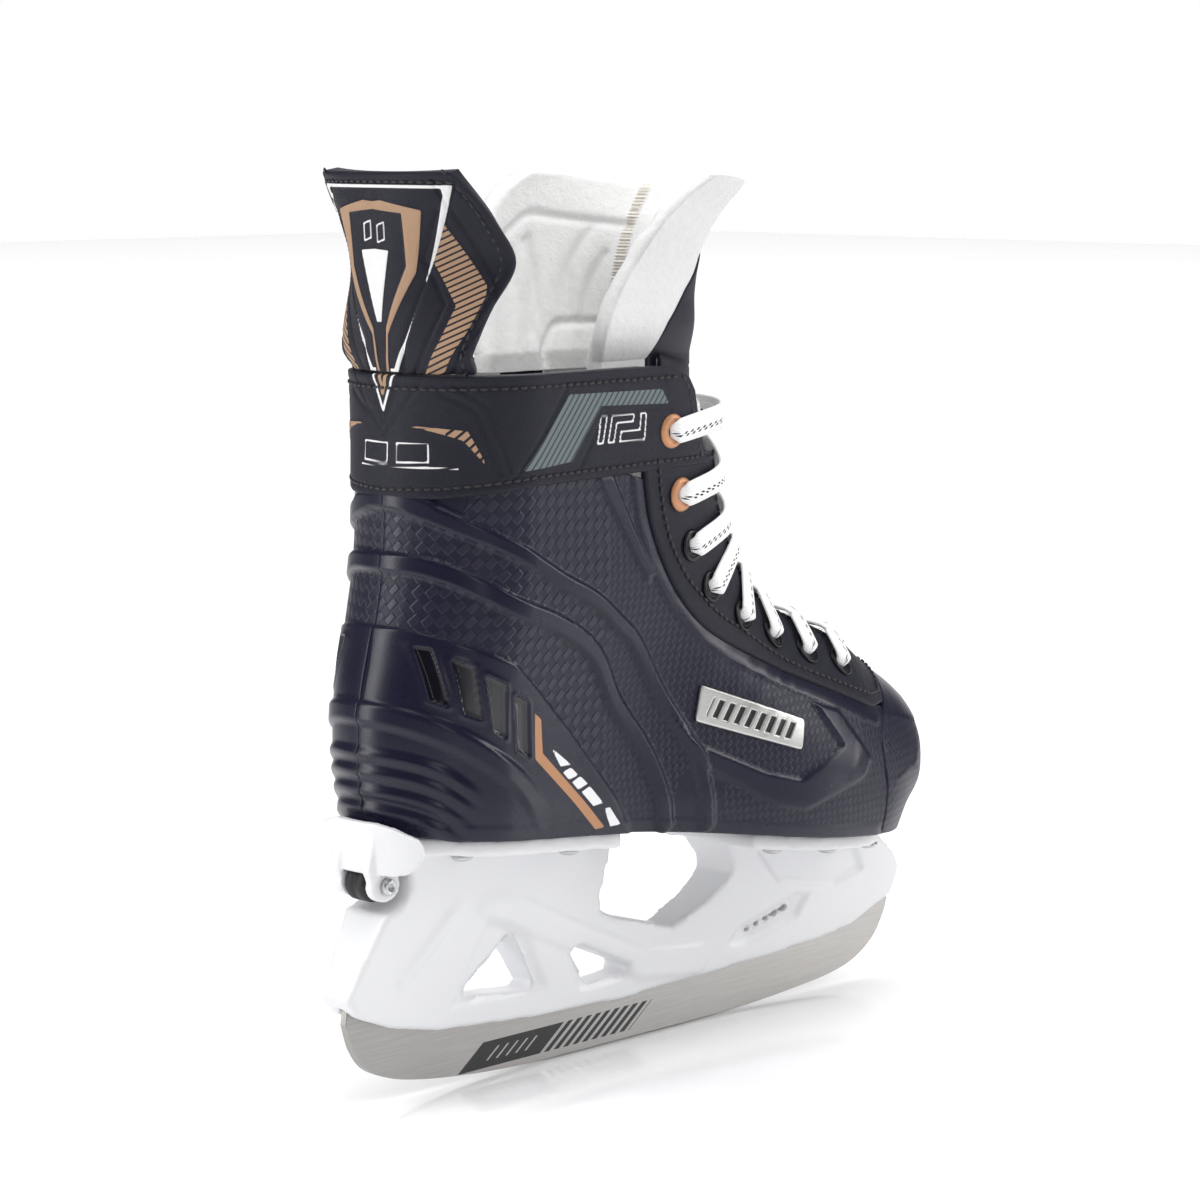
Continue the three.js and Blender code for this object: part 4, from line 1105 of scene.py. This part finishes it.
AXLE = (-110, 0, 75)
roller = turned("rubber_roller", [
    (2.1, -5), (4.2, -5), (4.9, -4.8), (5.6, -4.3), (6, -3.6), (6, -1), (5.7, -0.6),
    (5.7, 0.6), (6, 1), (6, 3.6), (5.6, 4.3), (4.9, 4.8), (4.2, 5), (2.1, 5)], AXLE)
black_rubber = rubber_finish("black_rubber", (0.012, 0.012, 0.013), 0.5)
roller.data.materials.append(black_rubber)
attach(roller, "roller")
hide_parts("roller")
zinc = zinc_finish()
screw = turned("axle_screw", [
    (0, -10.8), (1.1, -10.8), (1.2, -11.8), (1.4, -12), (2.3, -12), (2.7, -11.7),
    (2.8, -11.2), (2.8, -10), (2.7, -9.8), (1.7, -9.8), (1.7, 12.2), (1.5, 12.5), (0, 12.5)],
    AXLE, 36)
nut = turned("axle_nut", [
    (2.1, 9.8), (3.3, 9.8), (3.6, 10.1), (3.6, 11.9), (3.3, 12.2), (2.1, 12.2)], AXLE, 6)
for piece, node in ((screw, "roller_screw"), (nut, "roller_nut")):
    piece.data.materials.append(zinc)
    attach(piece, "skate")
    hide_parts(node)


# ---- Sole and footbed --------------------------------------------------------------------
# The outsole is a stiff black board; the holder is riveted up to it. Inside lies a thin
# foam footbed covered in grey felt.
def felt_finish(name, light, dark, band=None):
    finish = Finish(name, light, 0.95, Sheen_Weight=0.25, Sheen_Roughness=0.5,
                    Specular_IOR_Level=0.2)
    fluff = finish.noise(1500.0, 4.0, roughness=0.7)
    clumps = finish.noise(320.0, 4.0, roughness=0.6)
    cloud = finish.noise(45.0, 3.0)
    colour = finish.blend(clumps * 0.6 + cloud * 0.4, dark, light)
    if band:
        low, band_colour = band
        _, _, height = finish.axes()
        colour = finish.blend(height.rise(low, low + 0.0008), colour, band_colour)
    finish.put(Base_Color=colour, Roughness=0.86 + clumps * 0.14,
               Normal=finish.bump(fluff * 0.5 + clumps * 0.8, 0.0007, 0.8))
    return finish.material


outsole = moulded_copy("sole_board", "outsole", 1.0, 3)
outsole.data.materials.append(rubber_finish("sole_plastic", (0.01, 0.01, 0.012), 0.42))
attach(outsole, "skate")
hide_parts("outsole")
footbed = moulded_copy("felt_footbed", "footbed", 1.2, 4)
footbed.data.materials.append(felt_finish("footbed_felt", (0.3, 0.3, 0.31), (0.2, 0.2, 0.21)))
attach(footbed, "skate")
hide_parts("footbed")


# ---- Rivets ------------------------------------------------------------------------------
# Ten domed rivets clamp the holder to the outsole, four at the heel and six at the front.
RIVET_PLACES = [(-84, 18), (-36, 20), (64, 24), (92, 26), (122, 20)]


class Pattern(Recipe):
    """A Geometry Nodes tree that repeats a small shape over the points of a piece."""

    def __init__(self, name, **sizes):
        self.group = bpy.data.node_groups.new(name, "GeometryNodeTree")
        super().__init__(self.group)
        face = self.group.interface
        face.new_socket("Geometry", in_out="INPUT", socket_type="NodeSocketGeometry")
        face.new_socket("Geometry", in_out="OUTPUT", socket_type="NodeSocketGeometry")
        self.keys = {}
        for size in sizes:
            self.keys[size] = face.new_socket(
                size, in_out="INPUT", socket_type="NodeSocketFloat").identifier
        self.sizes = sizes
        self.entry = self.group.nodes.new("NodeGroupInput")
        self.exit = self.group.nodes.new("NodeGroupOutput")

    def given(self, name):
        return Wire(self, self.entry.outputs[name])

    def finish(self, geometry, material):
        real = self.node("GeometryNodeRealizeInstances", None, geometry)
        painted = self.node("GeometryNodeSetMaterial", None, real, None, material)
        self.tree.links.new(painted.socket, self.exit.inputs[0])

    def apply(self, piece):
        modifier = piece.modifiers.new("pattern", "NODES")
        modifier.node_group = self.group
        for size, value in self.sizes.items():
            modifier[self.keys[size]] = value
        return settle(piece)

    def turned_to(self, axis, direction):
        return self.node("FunctionNodeAlignRotationToVector", {"axis": axis}, None, 1.0,
                         direction)

    def joined(self, *parts):
        made = self.tree.nodes.new("GeometryNodeJoinGeometry")
        for part in reversed(parts):
            self.tree.links.new(part.socket, made.inputs[0])
        return Wire(self, made.outputs[0])

    def stretched(self, geometry, scale, move=(0, 0, 0)):
        return self.node("GeometryNodeTransform", None, geometry, Translation=move, Scale=scale)

    def named(self, name):
        return self.node("GeometryNodeInputNamedAttribute",
                         {"data_type": "FLOAT_VECTOR"}, name)


def point_piece(name, points, directions):
    """A piece of loose points, each with a direction."""
    mesh = bpy.data.meshes.new(name)
    mesh.from_pydata((np.asarray(points) / 1000).tolist(), [], [])
    mesh.attributes.new("facing", "FLOAT_VECTOR", "POINT").data.foreach_set(
        "vector", np.asarray(directions, np.float32).ravel())
    piece = bpy.data.objects.new(name, mesh)
    bpy.context.scene.collection.objects.link(piece)
    return piece


rivet_pattern = Pattern("rivets", Head=0.0038, Shank=0.002, Length=0.0138)
dome = rivet_pattern.node("GeometryNodeMeshUVSphere", None, 24, 12, rivet_pattern.given("Head"))
shank = rivet_pattern.node("GeometryNodeMeshCylinder", None, 16, 1, 1,
                           rivet_pattern.given("Shank"), rivet_pattern.given("Length"))
rivet = rivet_pattern.joined(
    rivet_pattern.stretched(dome, (1, 1, 0.42), (0, 0, -0.0072)),
    rivet_pattern.stretched(dome, (0.9, 0.9, 0.3), (0, 0, 0.0052)),
    rivet_pattern.stretched(shank, (1, 1, 1), (0, 0, -0.001)))
rivet_pattern.finish(rivet_pattern.node(
    "GeometryNodeInstanceOnPoints", None, rivet_pattern.given("Geometry"), None, rivet), zinc)
rivet_spots = [(x, side * y, follow(SOLE_LINE, np.array([x]))[0])
               for side in (-1, 1) for x, y in RIVET_PLACES]
rivets = rivet_pattern.apply(point_piece("sole_rivets", rivet_spots, [(0, 0, 1)] * 10))
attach(rivets, "skate")
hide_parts(*[f"rivet_{side}_{k}" for side in ("right", "left") for k in range(1, 6)])


# ---- Lining ------------------------------------------------------------------------------
# Thick white felt lines the ankle and heel. A dark grey felt binding closes it at the collar.
LINING_END = [(104, 92), (112, 78), (124, 44), (140, 14), (156, -4), (180, -16), (208, -20),
              (241, -16)]
lining_t = spaced(140, 1.8)
lining_base, lining_height, lining_depth = 104, 136.9, 6.9
lining_z = lining_base + lining_height * lining_t
lining_end_a = locate(np.interp(lining_z, *np.array(LINING_END).T), lining_z)[1]
lining_s = spaced(cuff_run, 1.8)
lining_s = np.concatenate([-lining_s[::-1], lining_s[1:]])
lining_A = lining_s * lining_end_a[:, None]
lining_Z = np.broadcast_to(lining_z[:, None], lining_A.shape)
lining_V = at_height(lining_A, lining_Z)
lining_points, lining_normals = boot_point(lining_V, lining_A), boot_normal(lining_V, lining_A)
swell = 0.5 * np.sin(lining_points[..., 0] * 0.11) * np.sin(lining_Z * 0.09)
lining = panel("ankle_lining", mirrored(lining_points - lining_normals * lining_depth),
               -mirrored(lining_normals), mirrored(swell) * 0.6, 2.6, rim=1.4)
lining.data.materials.append(felt_finish(
    "white_felt", (0.82, 0.82, 0.81), (0.66, 0.66, 0.66), (0.2385, (0.1, 0.105, 0.11))))
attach(lining, "skate")
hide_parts("liner")


# ---- Tongue ------------------------------------------------------------------------------
# A thick felt tongue lies under the laces and flares up in front of the shin, where it is
# quilted. Its front is faced with black coated leather.
tongue_side = np.vstack([[(10, 242.5), (10, 236), (9, 228), (9.5, 220)],
                         throat_xz[throat_xz[:, 1] < 216]])
tongue_v, tongue_a = locate(*tongue_side.T)
keep_rows = boot_point(tongue_v, tongue_a)[:, 0] < 112
tongue_line = resampled(np.stack([tongue_v[keep_rows], tongue_a[keep_rows]], axis=1)[::-1], 110)
tongue_s = 2 * spaced(70, 1.6) - 1


def tongue_strip(name, margin, lift, thickness, rim, relief=0.0):
    edge_a = np.minimum(tongue_line[:, 1] - margin, 0.86)
    A = 1 + tongue_s * (1 - edge_a)[:, None]
    V = np.broadcast_to(tongue_line[:, :1], A.shape)
    places = boot_point(V, A)
    normals = normals_away(places, places * (0, 1, 0) + (30, 0, 30))
    return panel(name, places, normals, lift + relief, thickness, rim=rim)


white_felt = felt_finish("tongue_felt", (0.84, 0.84, 0.83), (0.7, 0.7, 0.7))
tongue_lower = tongue_strip("tongue_under_laces", 0.05, -9.8, 3.4, 2.0)
tongue_lower.data.materials.append(white_felt)
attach(tongue_lower, "skate")
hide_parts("tongue_lower")
facing = tongue_strip("tongue_facing", 0.055, -8.0, 0.9, 0.4)
facing.data.materials.append(plain_leather)
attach(facing, "skate")
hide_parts("tongue_cover_lower")

FLAP_LEVELS = np.array([  # z, front x, outer half and rear, inner half and rear
    (243.4, 33, 27, -29, 27, -33), (253, 33, 31, -30, 32, -31), (264, 32, 31.5, -25, 37, -28),
    (276, 33, 32.5, -17, 41, -23), (288, 37, 36, -9, 44, -16), (298, 42, 38.5, 2, 45.5, -7),
    (305, 46, 41, 13, 45.5, 6)])


def flap_place(angle, z, depth):
    front, outer_half, outer_rear, inner_half, inner_rear = (
        follow(FLAP_LEVELS[:, [0, k]], np.maximum(z, 243.4)) for k in range(1, 6))
    blend = step_up(angle, -0.35, 0.35)
    half = outer_half + (inner_half - outer_half) * blend
    rear = outer_rear + (inner_rear - outer_rear) * blend
    c, s = np.cos(angle), np.sin(angle)
    x = rear + (front - rear - depth) * np.sign(c) * np.abs(c) ** 0.7
    y = (half - depth) * np.sign(s) * np.abs(s) ** 0.85
    return np.stack([x, y, z - 5 * c**2 * step_up(z, 286, 305)], axis=-1)


FLAP_RIM = (0, 0.3, 0.8, 1.5, 2.4, 3.4)
flap_base, flap_height = 236.8, 68.2
flap_z = flap_base + flap_height * spaced(flap_height, 0.8, FLAP_RIM)
flap_angle = np.pi / 2 - np.pi * spaced(150, 0.8, FLAP_RIM)
flap_A, flap_Z = np.meshgrid(flap_angle, flap_z)
flap_points = flap_place(flap_A, flap_Z, 7.0)
flap_normals = unit(unit(grid_cross(flap_points)) * (1, 1, 0.35))
flap_s = grid_runs(flap_points)
middle_column = np.argmin(np.abs(flap_angle))
flap_s = flap_s[:, middle_column:middle_column + 1] - flap_s
QUILT_LINES = [  # depth, width, line
    (1.7, 1.5, [(64, 276), (61.6, 281), (56.9, 286), (51.6, 290), (41, 289), (28.4, 287.5),
                (12.7, 286)]),
    (1.6, 2, [(49.4, 281), (44.8, 269), (42.8, 252), (41.7, 240)]),
    (1.4, 1.9, [(27, 284), (30.6, 273), (31, 264), (31, 253)]),
    (1.3, 1.8, [(19.4, 276), (23.9, 264.4), (25.8, 253.4)]),
    (1.7, 1.4, [(41.7, 243), (40.3, 247), (35.8, 252.4), (18, 252.4), (0, 252.4)]),
    (0.7, 2.4, [(56.5, 277), (50, 258), (48, 250)]),
]
quilt = 0
for depth, width, line in QUILT_LINES:
    distance = distance_to(np.abs(flap_s), flap_Z, splined(line, 6))[0]
    quilt = quilt - depth * np.exp(-(distance / width) ** 2)
overlock = distance_to(flap_s, flap_Z, [(13.8, 304), (12.5, 290.5), (13.8, 262)])[0]
overlock_ridge = step_up(2.0 - overlock, -0.8, 0.8)
puckers = 0.35 * np.sin(flap_s * 0.55 + flap_Z * 0.09) * step_up(-flap_Z, -282, -262)
flap_lift = (quilt + puckers + 0.8 * overlock_ridge
             * (0.6 + 0.4 * np.sin(flap_Z * 3.2)))
flap = panel("tongue_flare", flap_points, flap_normals, flap_lift, 3.6,
             {"thread": overlock_ridge}, rims="lrt", rim=2.6)


def tongue_finish():
    finish = Finish("quilted_felt", (0.84, 0.84, 0.83), 0.95, Sheen_Weight=0.25,
                    Sheen_Roughness=0.5, Specular_IOR_Level=0.2)
    fluff = finish.noise(1500.0, 4.0, roughness=0.7)
    clumps = finish.noise(320.0, 4.0, roughness=0.6)
    thread = finish.measure("thread")
    _, _, z = finish.axes()
    crossing = ((z * 900.0).fraction() - 0.5).size()
    colour = finish.blend(clumps * 0.7, (0.7, 0.7, 0.7), (0.85, 0.85, 0.84))
    colour = finish.blend(thread * (0.35 + crossing), colour, (0.72, 0.66, 0.55))
    finish.put(Base_Color=colour, Roughness=0.86 + clumps * 0.14,
               Normal=finish.bump(fluff * 0.5 + clumps * 0.8 + thread * crossing * 2, 0.0007, 0.8))
    return finish.material


flap.data.materials.append(tongue_finish())
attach(flap, "tongue_top")
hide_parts("tongue_upper")

facing_z = 238.5 + 39 * spaced(39, 1.0)
facing_t = 2 * spaced(60, 1.0) - 1
facing_Z = np.broadcast_to(facing_z[:, None], (len(facing_z), len(facing_t)))
facing_A = facing_t * np.interp(facing_z, [243, 255, 266, 277], [1.34, 1.2, 1.0, 0.6])[:, None]
facing_points = flap_place(facing_A, facing_Z, -0.5)
upper_facing = panel("tongue_flare_facing", facing_points, unit(grid_cross(facing_points)),
                     0.8, 0.6, rim=0.7)
upper_facing.data.materials.append(plain_leather)
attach(upper_facing, "tongue_top")
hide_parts("tongue_cover_upper")


# ---- Badges ------------------------------------------------------------------------------
# A brushed silver plate is pressed into the weave on each side. Its raised mark is a plain
# row of slanted bars.
def surface_at(x, z, side):
    """Place and outward normal on the boot: side is -1 on the outer side, 1 on the inner."""
    e = 0.04
    x, z = np.asarray(x, float), np.asarray(z, float)
    dx = (half_width(x + e, z) - half_width(x - e, z)) / (2 * e)
    dz = (half_width(x, z + e) - half_width(x, z - e)) / (2 * e)
    normal = np.stack([-dx, np.full(x.shape, float(side)), -dz], axis=-1)
    return np.stack([x, side * half_width(x, z), z], axis=-1), unit(normal)


BADGE_CORNERS = np.array([[(8, 118.5), (10.5, 131)], [(54.5, 103.5), (57.5, 114)]])
badge_length, badge_width = 48, 12
badge_u, badge_w = spaced(badge_length, 0.35), spaced(badge_width, 0.35)
badge_U, badge_W = np.meshgrid(badge_u, badge_w)
badge_xz = sum(
    (BADGE_CORNERS[i, j]
     * ((badge_U if i else 1 - badge_U) * (badge_W if j else 1 - badge_W))[..., None]
     for i in (0, 1) for j in (0, 1)), np.zeros(badge_U.shape + (2,)))
off_middle, off_axis = np.abs(badge_U - 0.5) * badge_length, np.abs(badge_W - 0.5) * badge_width
corner = np.linalg.norm(
    np.maximum(np.stack([off_middle - 22, off_axis - 4], axis=-1), 0), axis=-1)
corner_pull = (np.maximum(corner - 2, 0) * 0.03)[..., None]
badge_xz -= (badge_xz - badge_xz.mean(axis=(0, 1))) * corner_pull
bar_slant, bar_pitch = badge_U * badge_length - badge_W * 4, 4.6
badge_mark = np.minimum(1.15 - np.abs((bar_slant % bar_pitch) - bar_pitch / 2),
                        np.minimum(3.2 - off_axis, 19 - np.abs(bar_slant - 22)))


def badge_finish():
    finish = Finish("badge_plate", (0.6, 0.6, 0.58), 0.32, Metallic=1.0)
    stretched = finish.node("ShaderNodeMapping", None, finish.place(), Scale=(0.1, 1.0, 3.0))
    lines = finish.noise(1200.0, 3.0, stretched)
    ink = finish.measure("mark").rise(-0.1, 0.15)
    colour = finish.blend(lines, (0.52, 0.52, 0.5), (0.7, 0.7, 0.68))
    colour = finish.blend(ink, colour, (0.012, 0.012, 0.014))
    finish.put(Base_Color=colour, Metallic=1 - ink, Roughness=0.26 + lines * 0.2,
               Normal=finish.bump(lines, 0.00005, 0.4))
    return finish.material


badge_metal = badge_finish()
for side, sign in (("right", -1), ("left", 1)):
    points, normals = surface_at(badge_xz[..., 0], badge_xz[..., 1], sign)
    relief, mark = 1.25 - 0.45 * step_up(badge_mark, -0.15, 0.3), badge_mark
    if sign > 0:
        points, normals, relief, mark = map(mirrored, (points, normals, relief, mark))
    plate = panel(f"badge_plate_{side}", points, normals, relief, 0.5, {"mark": mark}, rim=0.6)
    plate.data.materials.append(badge_metal)
    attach(plate, "skate")
    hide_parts(f"badge_{side}")


# ---- Eyelets -----------------------------------------------------------------------------
# Eight rolled metal eyelets a side: copper-coloured ones at the top two places and black
# enamelled ones below.
EYELETS = [(-5, 219), (1, 197), (7, 179), (17, 164), (35, 151.5), (53, 143), (72, 135),
           (91, 128.5)]
eyelet_x, eyelet_z = np.array(EYELETS, float).T


def metal_finish(name, colour, rough, metallic):
    finish = Finish(name, colour, rough, Metallic=metallic)
    wear = finish.noise(420.0, 5.0, roughness=0.7)
    finish.put(Base_Color=finish.blend(wear.rise(0.55, 0.8) * 0.5, colour,
                                       tuple(min(c * 1.6 + 0.03, 1) for c in colour)),
               Roughness=rough - 0.06 + wear * 0.14, Normal=finish.bump(wear, 0.00005, 0.5))
    return finish.material


def eyelet_group(name, rows, ring_radius, wire_radius, material, replaced):
    pattern = Pattern(name, Ring=ring_radius, Wire=wire_radius, Barrel=0.0026)
    path = pattern.node("GeometryNodeCurvePrimitiveCircle", None, 36, Radius=pattern.given("Ring"))
    section = pattern.node("GeometryNodeCurvePrimitiveCircle", None, 10,
                           Radius=pattern.given("Wire"))
    rolled = pattern.node("GeometryNodeCurveToMesh", None, path, section)
    tube = pattern.node("GeometryNodeMeshCylinder", {"fill_type": "NONE"}, 28, 1, 1,
                        pattern.given("Barrel"), 0.0042)
    shape = pattern.joined(pattern.stretched(rolled, (1, 1, 0.55), (0, 0, 0.0015)),
                           pattern.stretched(rolled, (0.74, 0.74, 0.7), (0, 0, 0.0012)),
                           pattern.stretched(tube, (1, 1, 1), (0, 0, -0.0009)))
    turn = pattern.turned_to("Z", pattern.named("facing"))
    placed = pattern.node("GeometryNodeInstanceOnPoints", None, pattern.given("Geometry"), None,
                          shape, None, None, turn)
    smooth = pattern.node("GeometryNodeSetShadeSmooth", None, placed)
    pattern.finish(smooth, material)
    spots, facing_out = [], []
    for side in (-1, 1):
        at, normal = surface_at(eyelet_x[rows], eyelet_z[rows], side)
        spots.append(at)
        facing_out.append(normal)
    piece = pattern.apply(point_piece(name, np.vstack(spots), np.vstack(facing_out)))
    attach(piece, "skate")
    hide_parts(*replaced)
    return piece


copper_eyelets = eyelet_group(
    "copper_eyelets", slice(0, 2), 0.0044, 0.0015,
    metal_finish("copper_enamel", (0.5, 0.24, 0.12), 0.36, 0.35),
    [f"eyelet_{side}_{k}" for side in ("right", "left") for k in (1, 2)])
black_eyelets = eyelet_group(
    "black_eyelets", slice(2, 8), 0.0046, 0.001,
    metal_finish("black_enamel", (0.012, 0.012, 0.014), 0.22, 0.5),
    [f"eyelet_{side}_{k}" for side in ("right", "left") for k in range(3, 9)])


# ---- Lace --------------------------------------------------------------------------------
# One flat woven lace, white with a dashed black tracer. It comes up through an eyelet, goes
# over the eyestay's edge and across the tongue, and dives under the far edge.


def across_at(x, z, share, height):
    """Place and normal on the way from (x, z) to the front, at a share of the throat's half."""
    nearest = front_coarse[np.argmin(np.hypot(front_coarse[:, 0] - x, front_coarse[:, 1] - z))]
    low, high = 0.0, 1.0
    for _ in range(20):
        t = (low + high) / 2
        px, pz = x + (nearest[0] - x) * t, z + (nearest[1] - z) * t
        throat = follow(THROAT_HALF, np.array([px]))[0]
        if half_width(np.array([px]), np.array([pz]))[0] > abs(share) * throat:
            low = t
        else:
            high = t
    px, pz = x + (nearest[0] - x) * low, z + (nearest[1] - z) * low
    at, normal = surface_at(px, pz, 1 if share > 0 else -1)
    return at + normal * height, normal


def lace_strand(first_side):
    stops = []
    side = first_side
    for row in range(7, -1, -1):
        x, z = EYELETS[row]
        next_x, next_z = EYELETS[max(row - 1, 0)]
        at, normal = surface_at(x, z, side)
        edge = across_at(x, z, side, 0)[0]
        inward = (edge - at) / np.linalg.norm(edge - at)
        wide = np.cross(normal, inward)
        chord = surface_at(next_x, next_z, -side)[0] - at

        def between(t, share, height, half):
            place, up = across_at(
                x + (next_x - x) * t, z + (next_z - z) * t, share * side, height)
            stops.append((place, np.cross(up, chord), up, half))

        for height, across, half in ((-3.6, 2.2, 2.6), (-1.6, 0.2, 2.0), (1.4, -0.4, 2.4),
                                     (3.4, 0.8, 3.5), (3.9, 3.4, 4.3)):
            stops.append((at + normal * height + inward * across, wide, normal, half))
        between(0.02, 1.06, 3.3, 4.5)
        between(0.07, 0.97, 2.8, 4.5)
        between(0.2, 0.8, 0.6, 4.4)
        between(0.4, 0.4, -2.2, 4.2)
        between(0.62, -0.35, -3.4, 3.9)
        between(0.84, -0.74, -4.6, 3.6)
        between(0.95, -0.97, -4.9, 3.4)
        between(1, -1.04, -5.0, 3.2)
        side = -side
    return stops


lowest = []
for share in (-1, -0.5, 0.5, 1):
    place, up = across_at(*EYELETS[-1], share, -5.0)
    lowest.append((place, np.cross(up, (0, 1, 0)), up, 3.6))
stops = lace_strand(-1)[::-1] + lowest + lace_strand(1)
places = np.array([s[0] for s in stops])
wides = []
for place, wide, up, half in stops:
    w = wide / max(np.linalg.norm(wide), 1e-9)
    if wides and np.dot(w, wides[-1]) < 0:
        w = -w
    wides.append(w)
halves = np.array([s[3] for s in stops])
route = resampled(splined(np.column_stack([places, np.array(wides), halves]), 7), 1500)
centre, wide, half = route[:, :3], route[:, 3:6], route[:, 6]
for _ in range(2):
    centre[1:-1] = (centre[:-2] + 2 * centre[1:-1] + centre[2:]) / 4
tangent = unit(np.gradient(centre, axis=0))
wide = unit(wide - tangent * np.sum(wide * tangent, axis=1, keepdims=True))
thick_direction = np.cross(tangent, wide)
lace_sides, flat_half = 18, 3.9
angle = np.linspace(0, 2 * np.pi, lace_sides, endpoint=False)
section_w = np.sign(np.cos(angle)) * np.abs(np.cos(angle)) ** 0.7
section_t = np.sign(np.sin(angle)) * np.abs(np.sin(angle)) ** 0.8
thickness = 0.95 + 0.3 * np.clip((3.6 - half) / 1.7, 0, 1)
lace_points = (centre[:, None] + wide[:, None] * (half[:, None] * section_w)[..., None]
               + thick_direction[:, None] * (thickness[:, None] * section_t)[..., None])
ring = np.arange(lace_sides)
lace_faces = []
for k in range(len(centre) - 1):
    a = k * lace_sides
    lace_faces.extend((a + j, a + (j + 1) % lace_sides, a + lace_sides + (j + 1) % lace_sides,
                       a + lace_sides + j) for j in ring)
lace_faces.append(ring[::-1].tolist())
lace_faces.append((ring + (len(centre) - 1) * lace_sides).tolist())
lace = make_mesh("woven_lace", lace_points.reshape(-1, 3), lace_faces, {
    "along": np.repeat(lengths(centre), lace_sides),
    "across": np.tile(section_w, len(centre)) * flat_half})


def lace_finish():
    finish = Finish("woven_lace", (0.86, 0.86, 0.86), 0.85, Sheen_Weight=0.1,
                    Specular_IOR_Level=0.25)
    along, across = finish.measure("along"), finish.measure("across")
    one = ((along + across.size() * 1.1) * (1 / 1.5)).fraction()
    strand = (one - 0.5).size().rise(0.5, 0.22)
    column = ((across * (1 / 0.98)).fraction() - 0.5).size().rise(0.5, 0.2)
    fibre = finish.noise(2500.0, 3.0)
    first = (across > 0.5) * (across < 1.15) * (
        ((along + across * 2) * (1 / 4.2)).fraction() < 0.4)
    second = (across > 1.25) * (across < 1.9) * (
        ((along + across * 2 + 1.6) * (1 / 4.2)).fraction() < 0.4)
    tracer = first.most(second)
    thread = strand * 0.6 + column * 0.5
    # Painted shade: the white lace is coloured darker in the grooves between the woven strands,
    # with random fibre tone on top.
    colour = finish.blend(thread * 0.8 + fibre * 0.2, (0.8, 0.8, 0.81), (0.93, 0.93, 0.93))
    colour = finish.blend(tracer, colour, (0.02, 0.02, 0.024))
    finish.put(Base_Color=colour, Roughness=0.78 + fibre * 0.15,
               Normal=finish.bump(thread + fibre * 0.3, 0.00025, 0.7))
    return finish.material


lace.data.materials.append(lace_finish())
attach(lace, "skate")
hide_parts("lace")


# ---- Stitching ---------------------------------------------------------------------------
# Black waxed thread, sewn along both edges of the cuff, round the eyestays and the guard.
def stitch_row(name, lines, body, material):
    """Short stitches along lines of places in millimetres."""
    mesh = bpy.data.meshes.new(name)
    places, edges = [], []
    for line in lines:
        start = len(places)
        places.extend((np.asarray(line) / 1000).tolist())
        edges.extend((k, k + 1) for k in range(start, len(places) - 1))
    mesh.from_pydata(places, edges, [])
    piece = bpy.data.objects.new(name, mesh)
    bpy.context.scene.collection.objects.link(piece)
    pattern = Pattern(name, Pitch=0.0033, Thread=0.00055, Stitch=0.0013)
    curve = pattern.node("GeometryNodeMeshToCurve", None, pattern.given("Geometry"))
    dots = pattern.tree.nodes.new("GeometryNodeCurveToPoints")
    dots.mode = "LENGTH"
    pattern.tree.links.new(curve.socket, dots.inputs["Curve"])
    pattern.tree.links.new(pattern.given("Pitch").socket, dots.inputs["Length"])
    bead = pattern.node("GeometryNodeMeshUVSphere", None, 8, 6, 1.0)
    size = pattern.node("ShaderNodeCombineXYZ", None, pattern.given("Thread"),
                        pattern.given("Thread"), pattern.given("Stitch"))
    capsule = pattern.node("GeometryNodeTransform", None, bead, Scale=size)
    turn = pattern.turned_to("Z", Wire(pattern, dots.outputs["Tangent"]))
    placed = pattern.node("GeometryNodeInstanceOnPoints", None, Wire(pattern, dots.outputs[0]),
                          None, capsule, None, None, turn)
    pattern.finish(pattern.node("GeometryNodeSetShadeSmooth", None, placed), material)
    pattern.apply(piece)
    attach(piece, body)
    return piece


def thread_finish():
    finish = Finish("waxed_thread", (0.01, 0.01, 0.012), 0.45)
    twist = finish.noise(2600.0, 2.0)
    finish.put(Base_Color=finish.blend(twist, (0.006, 0.006, 0.008), (0.03, 0.03, 0.034)),
               Roughness=0.35 + twist * 0.25, Normal=finish.bump(twist, 0.0001, 0.6))
    return finish.material


thread_material = thread_finish()


def row_near(steps, share):
    return int(np.argmin(np.abs(steps - share)))


stitch_inset, thread_lift = 3.2, 1.35
boot_lines = []
for height in (stitch_inset, cuff_height - 3.4):
    row = row_near(cuff_t, height / cuff_height)
    count = cuff_points.shape[1]
    cut = slice(int(count * 0.03), int(count * 0.97))
    boot_lines.append((cuff_points[row] + cuff_normals[row] * thread_lift)[cut])
for end in (1, -1):
    column = row_near(cuff_s, end * (1 - stitch_inset / cuff_run))
    cut = slice(row_near(cuff_t, 0.1), row_near(cuff_t, 0.9))
    boot_lines.append((cuff_points[:, column] + cuff_normals[:, column] * thread_lift)[cut])
for share in (2.8 / stay_width, 1 - 2.6 / stay_width):
    row = row_near(across_stay, share)
    boot_lines.append(stay_points[row] + stay_normals[row] * thread_lift)
stitch_row("boot_stitching", boot_lines, "skate", thread_material)
seam_lines = []
for end in (-1, 1):
    column = row_near(guard_u, end * (1 - 0.085))
    seam_lines.append(guard_points[:, column] + guard_normals[:, column] * 0.1)
top_row = row_near(guard_z, guard_top - guard_seam_inset)
cut = slice(row_near(guard_u, -0.9), row_near(guard_u, 0.9))
seam_lines.append((guard_points[top_row] + guard_normals[top_row] * 0.5)[cut])
stitch_row("guard_stitching", seam_lines, "tendon_guard", thread_material)
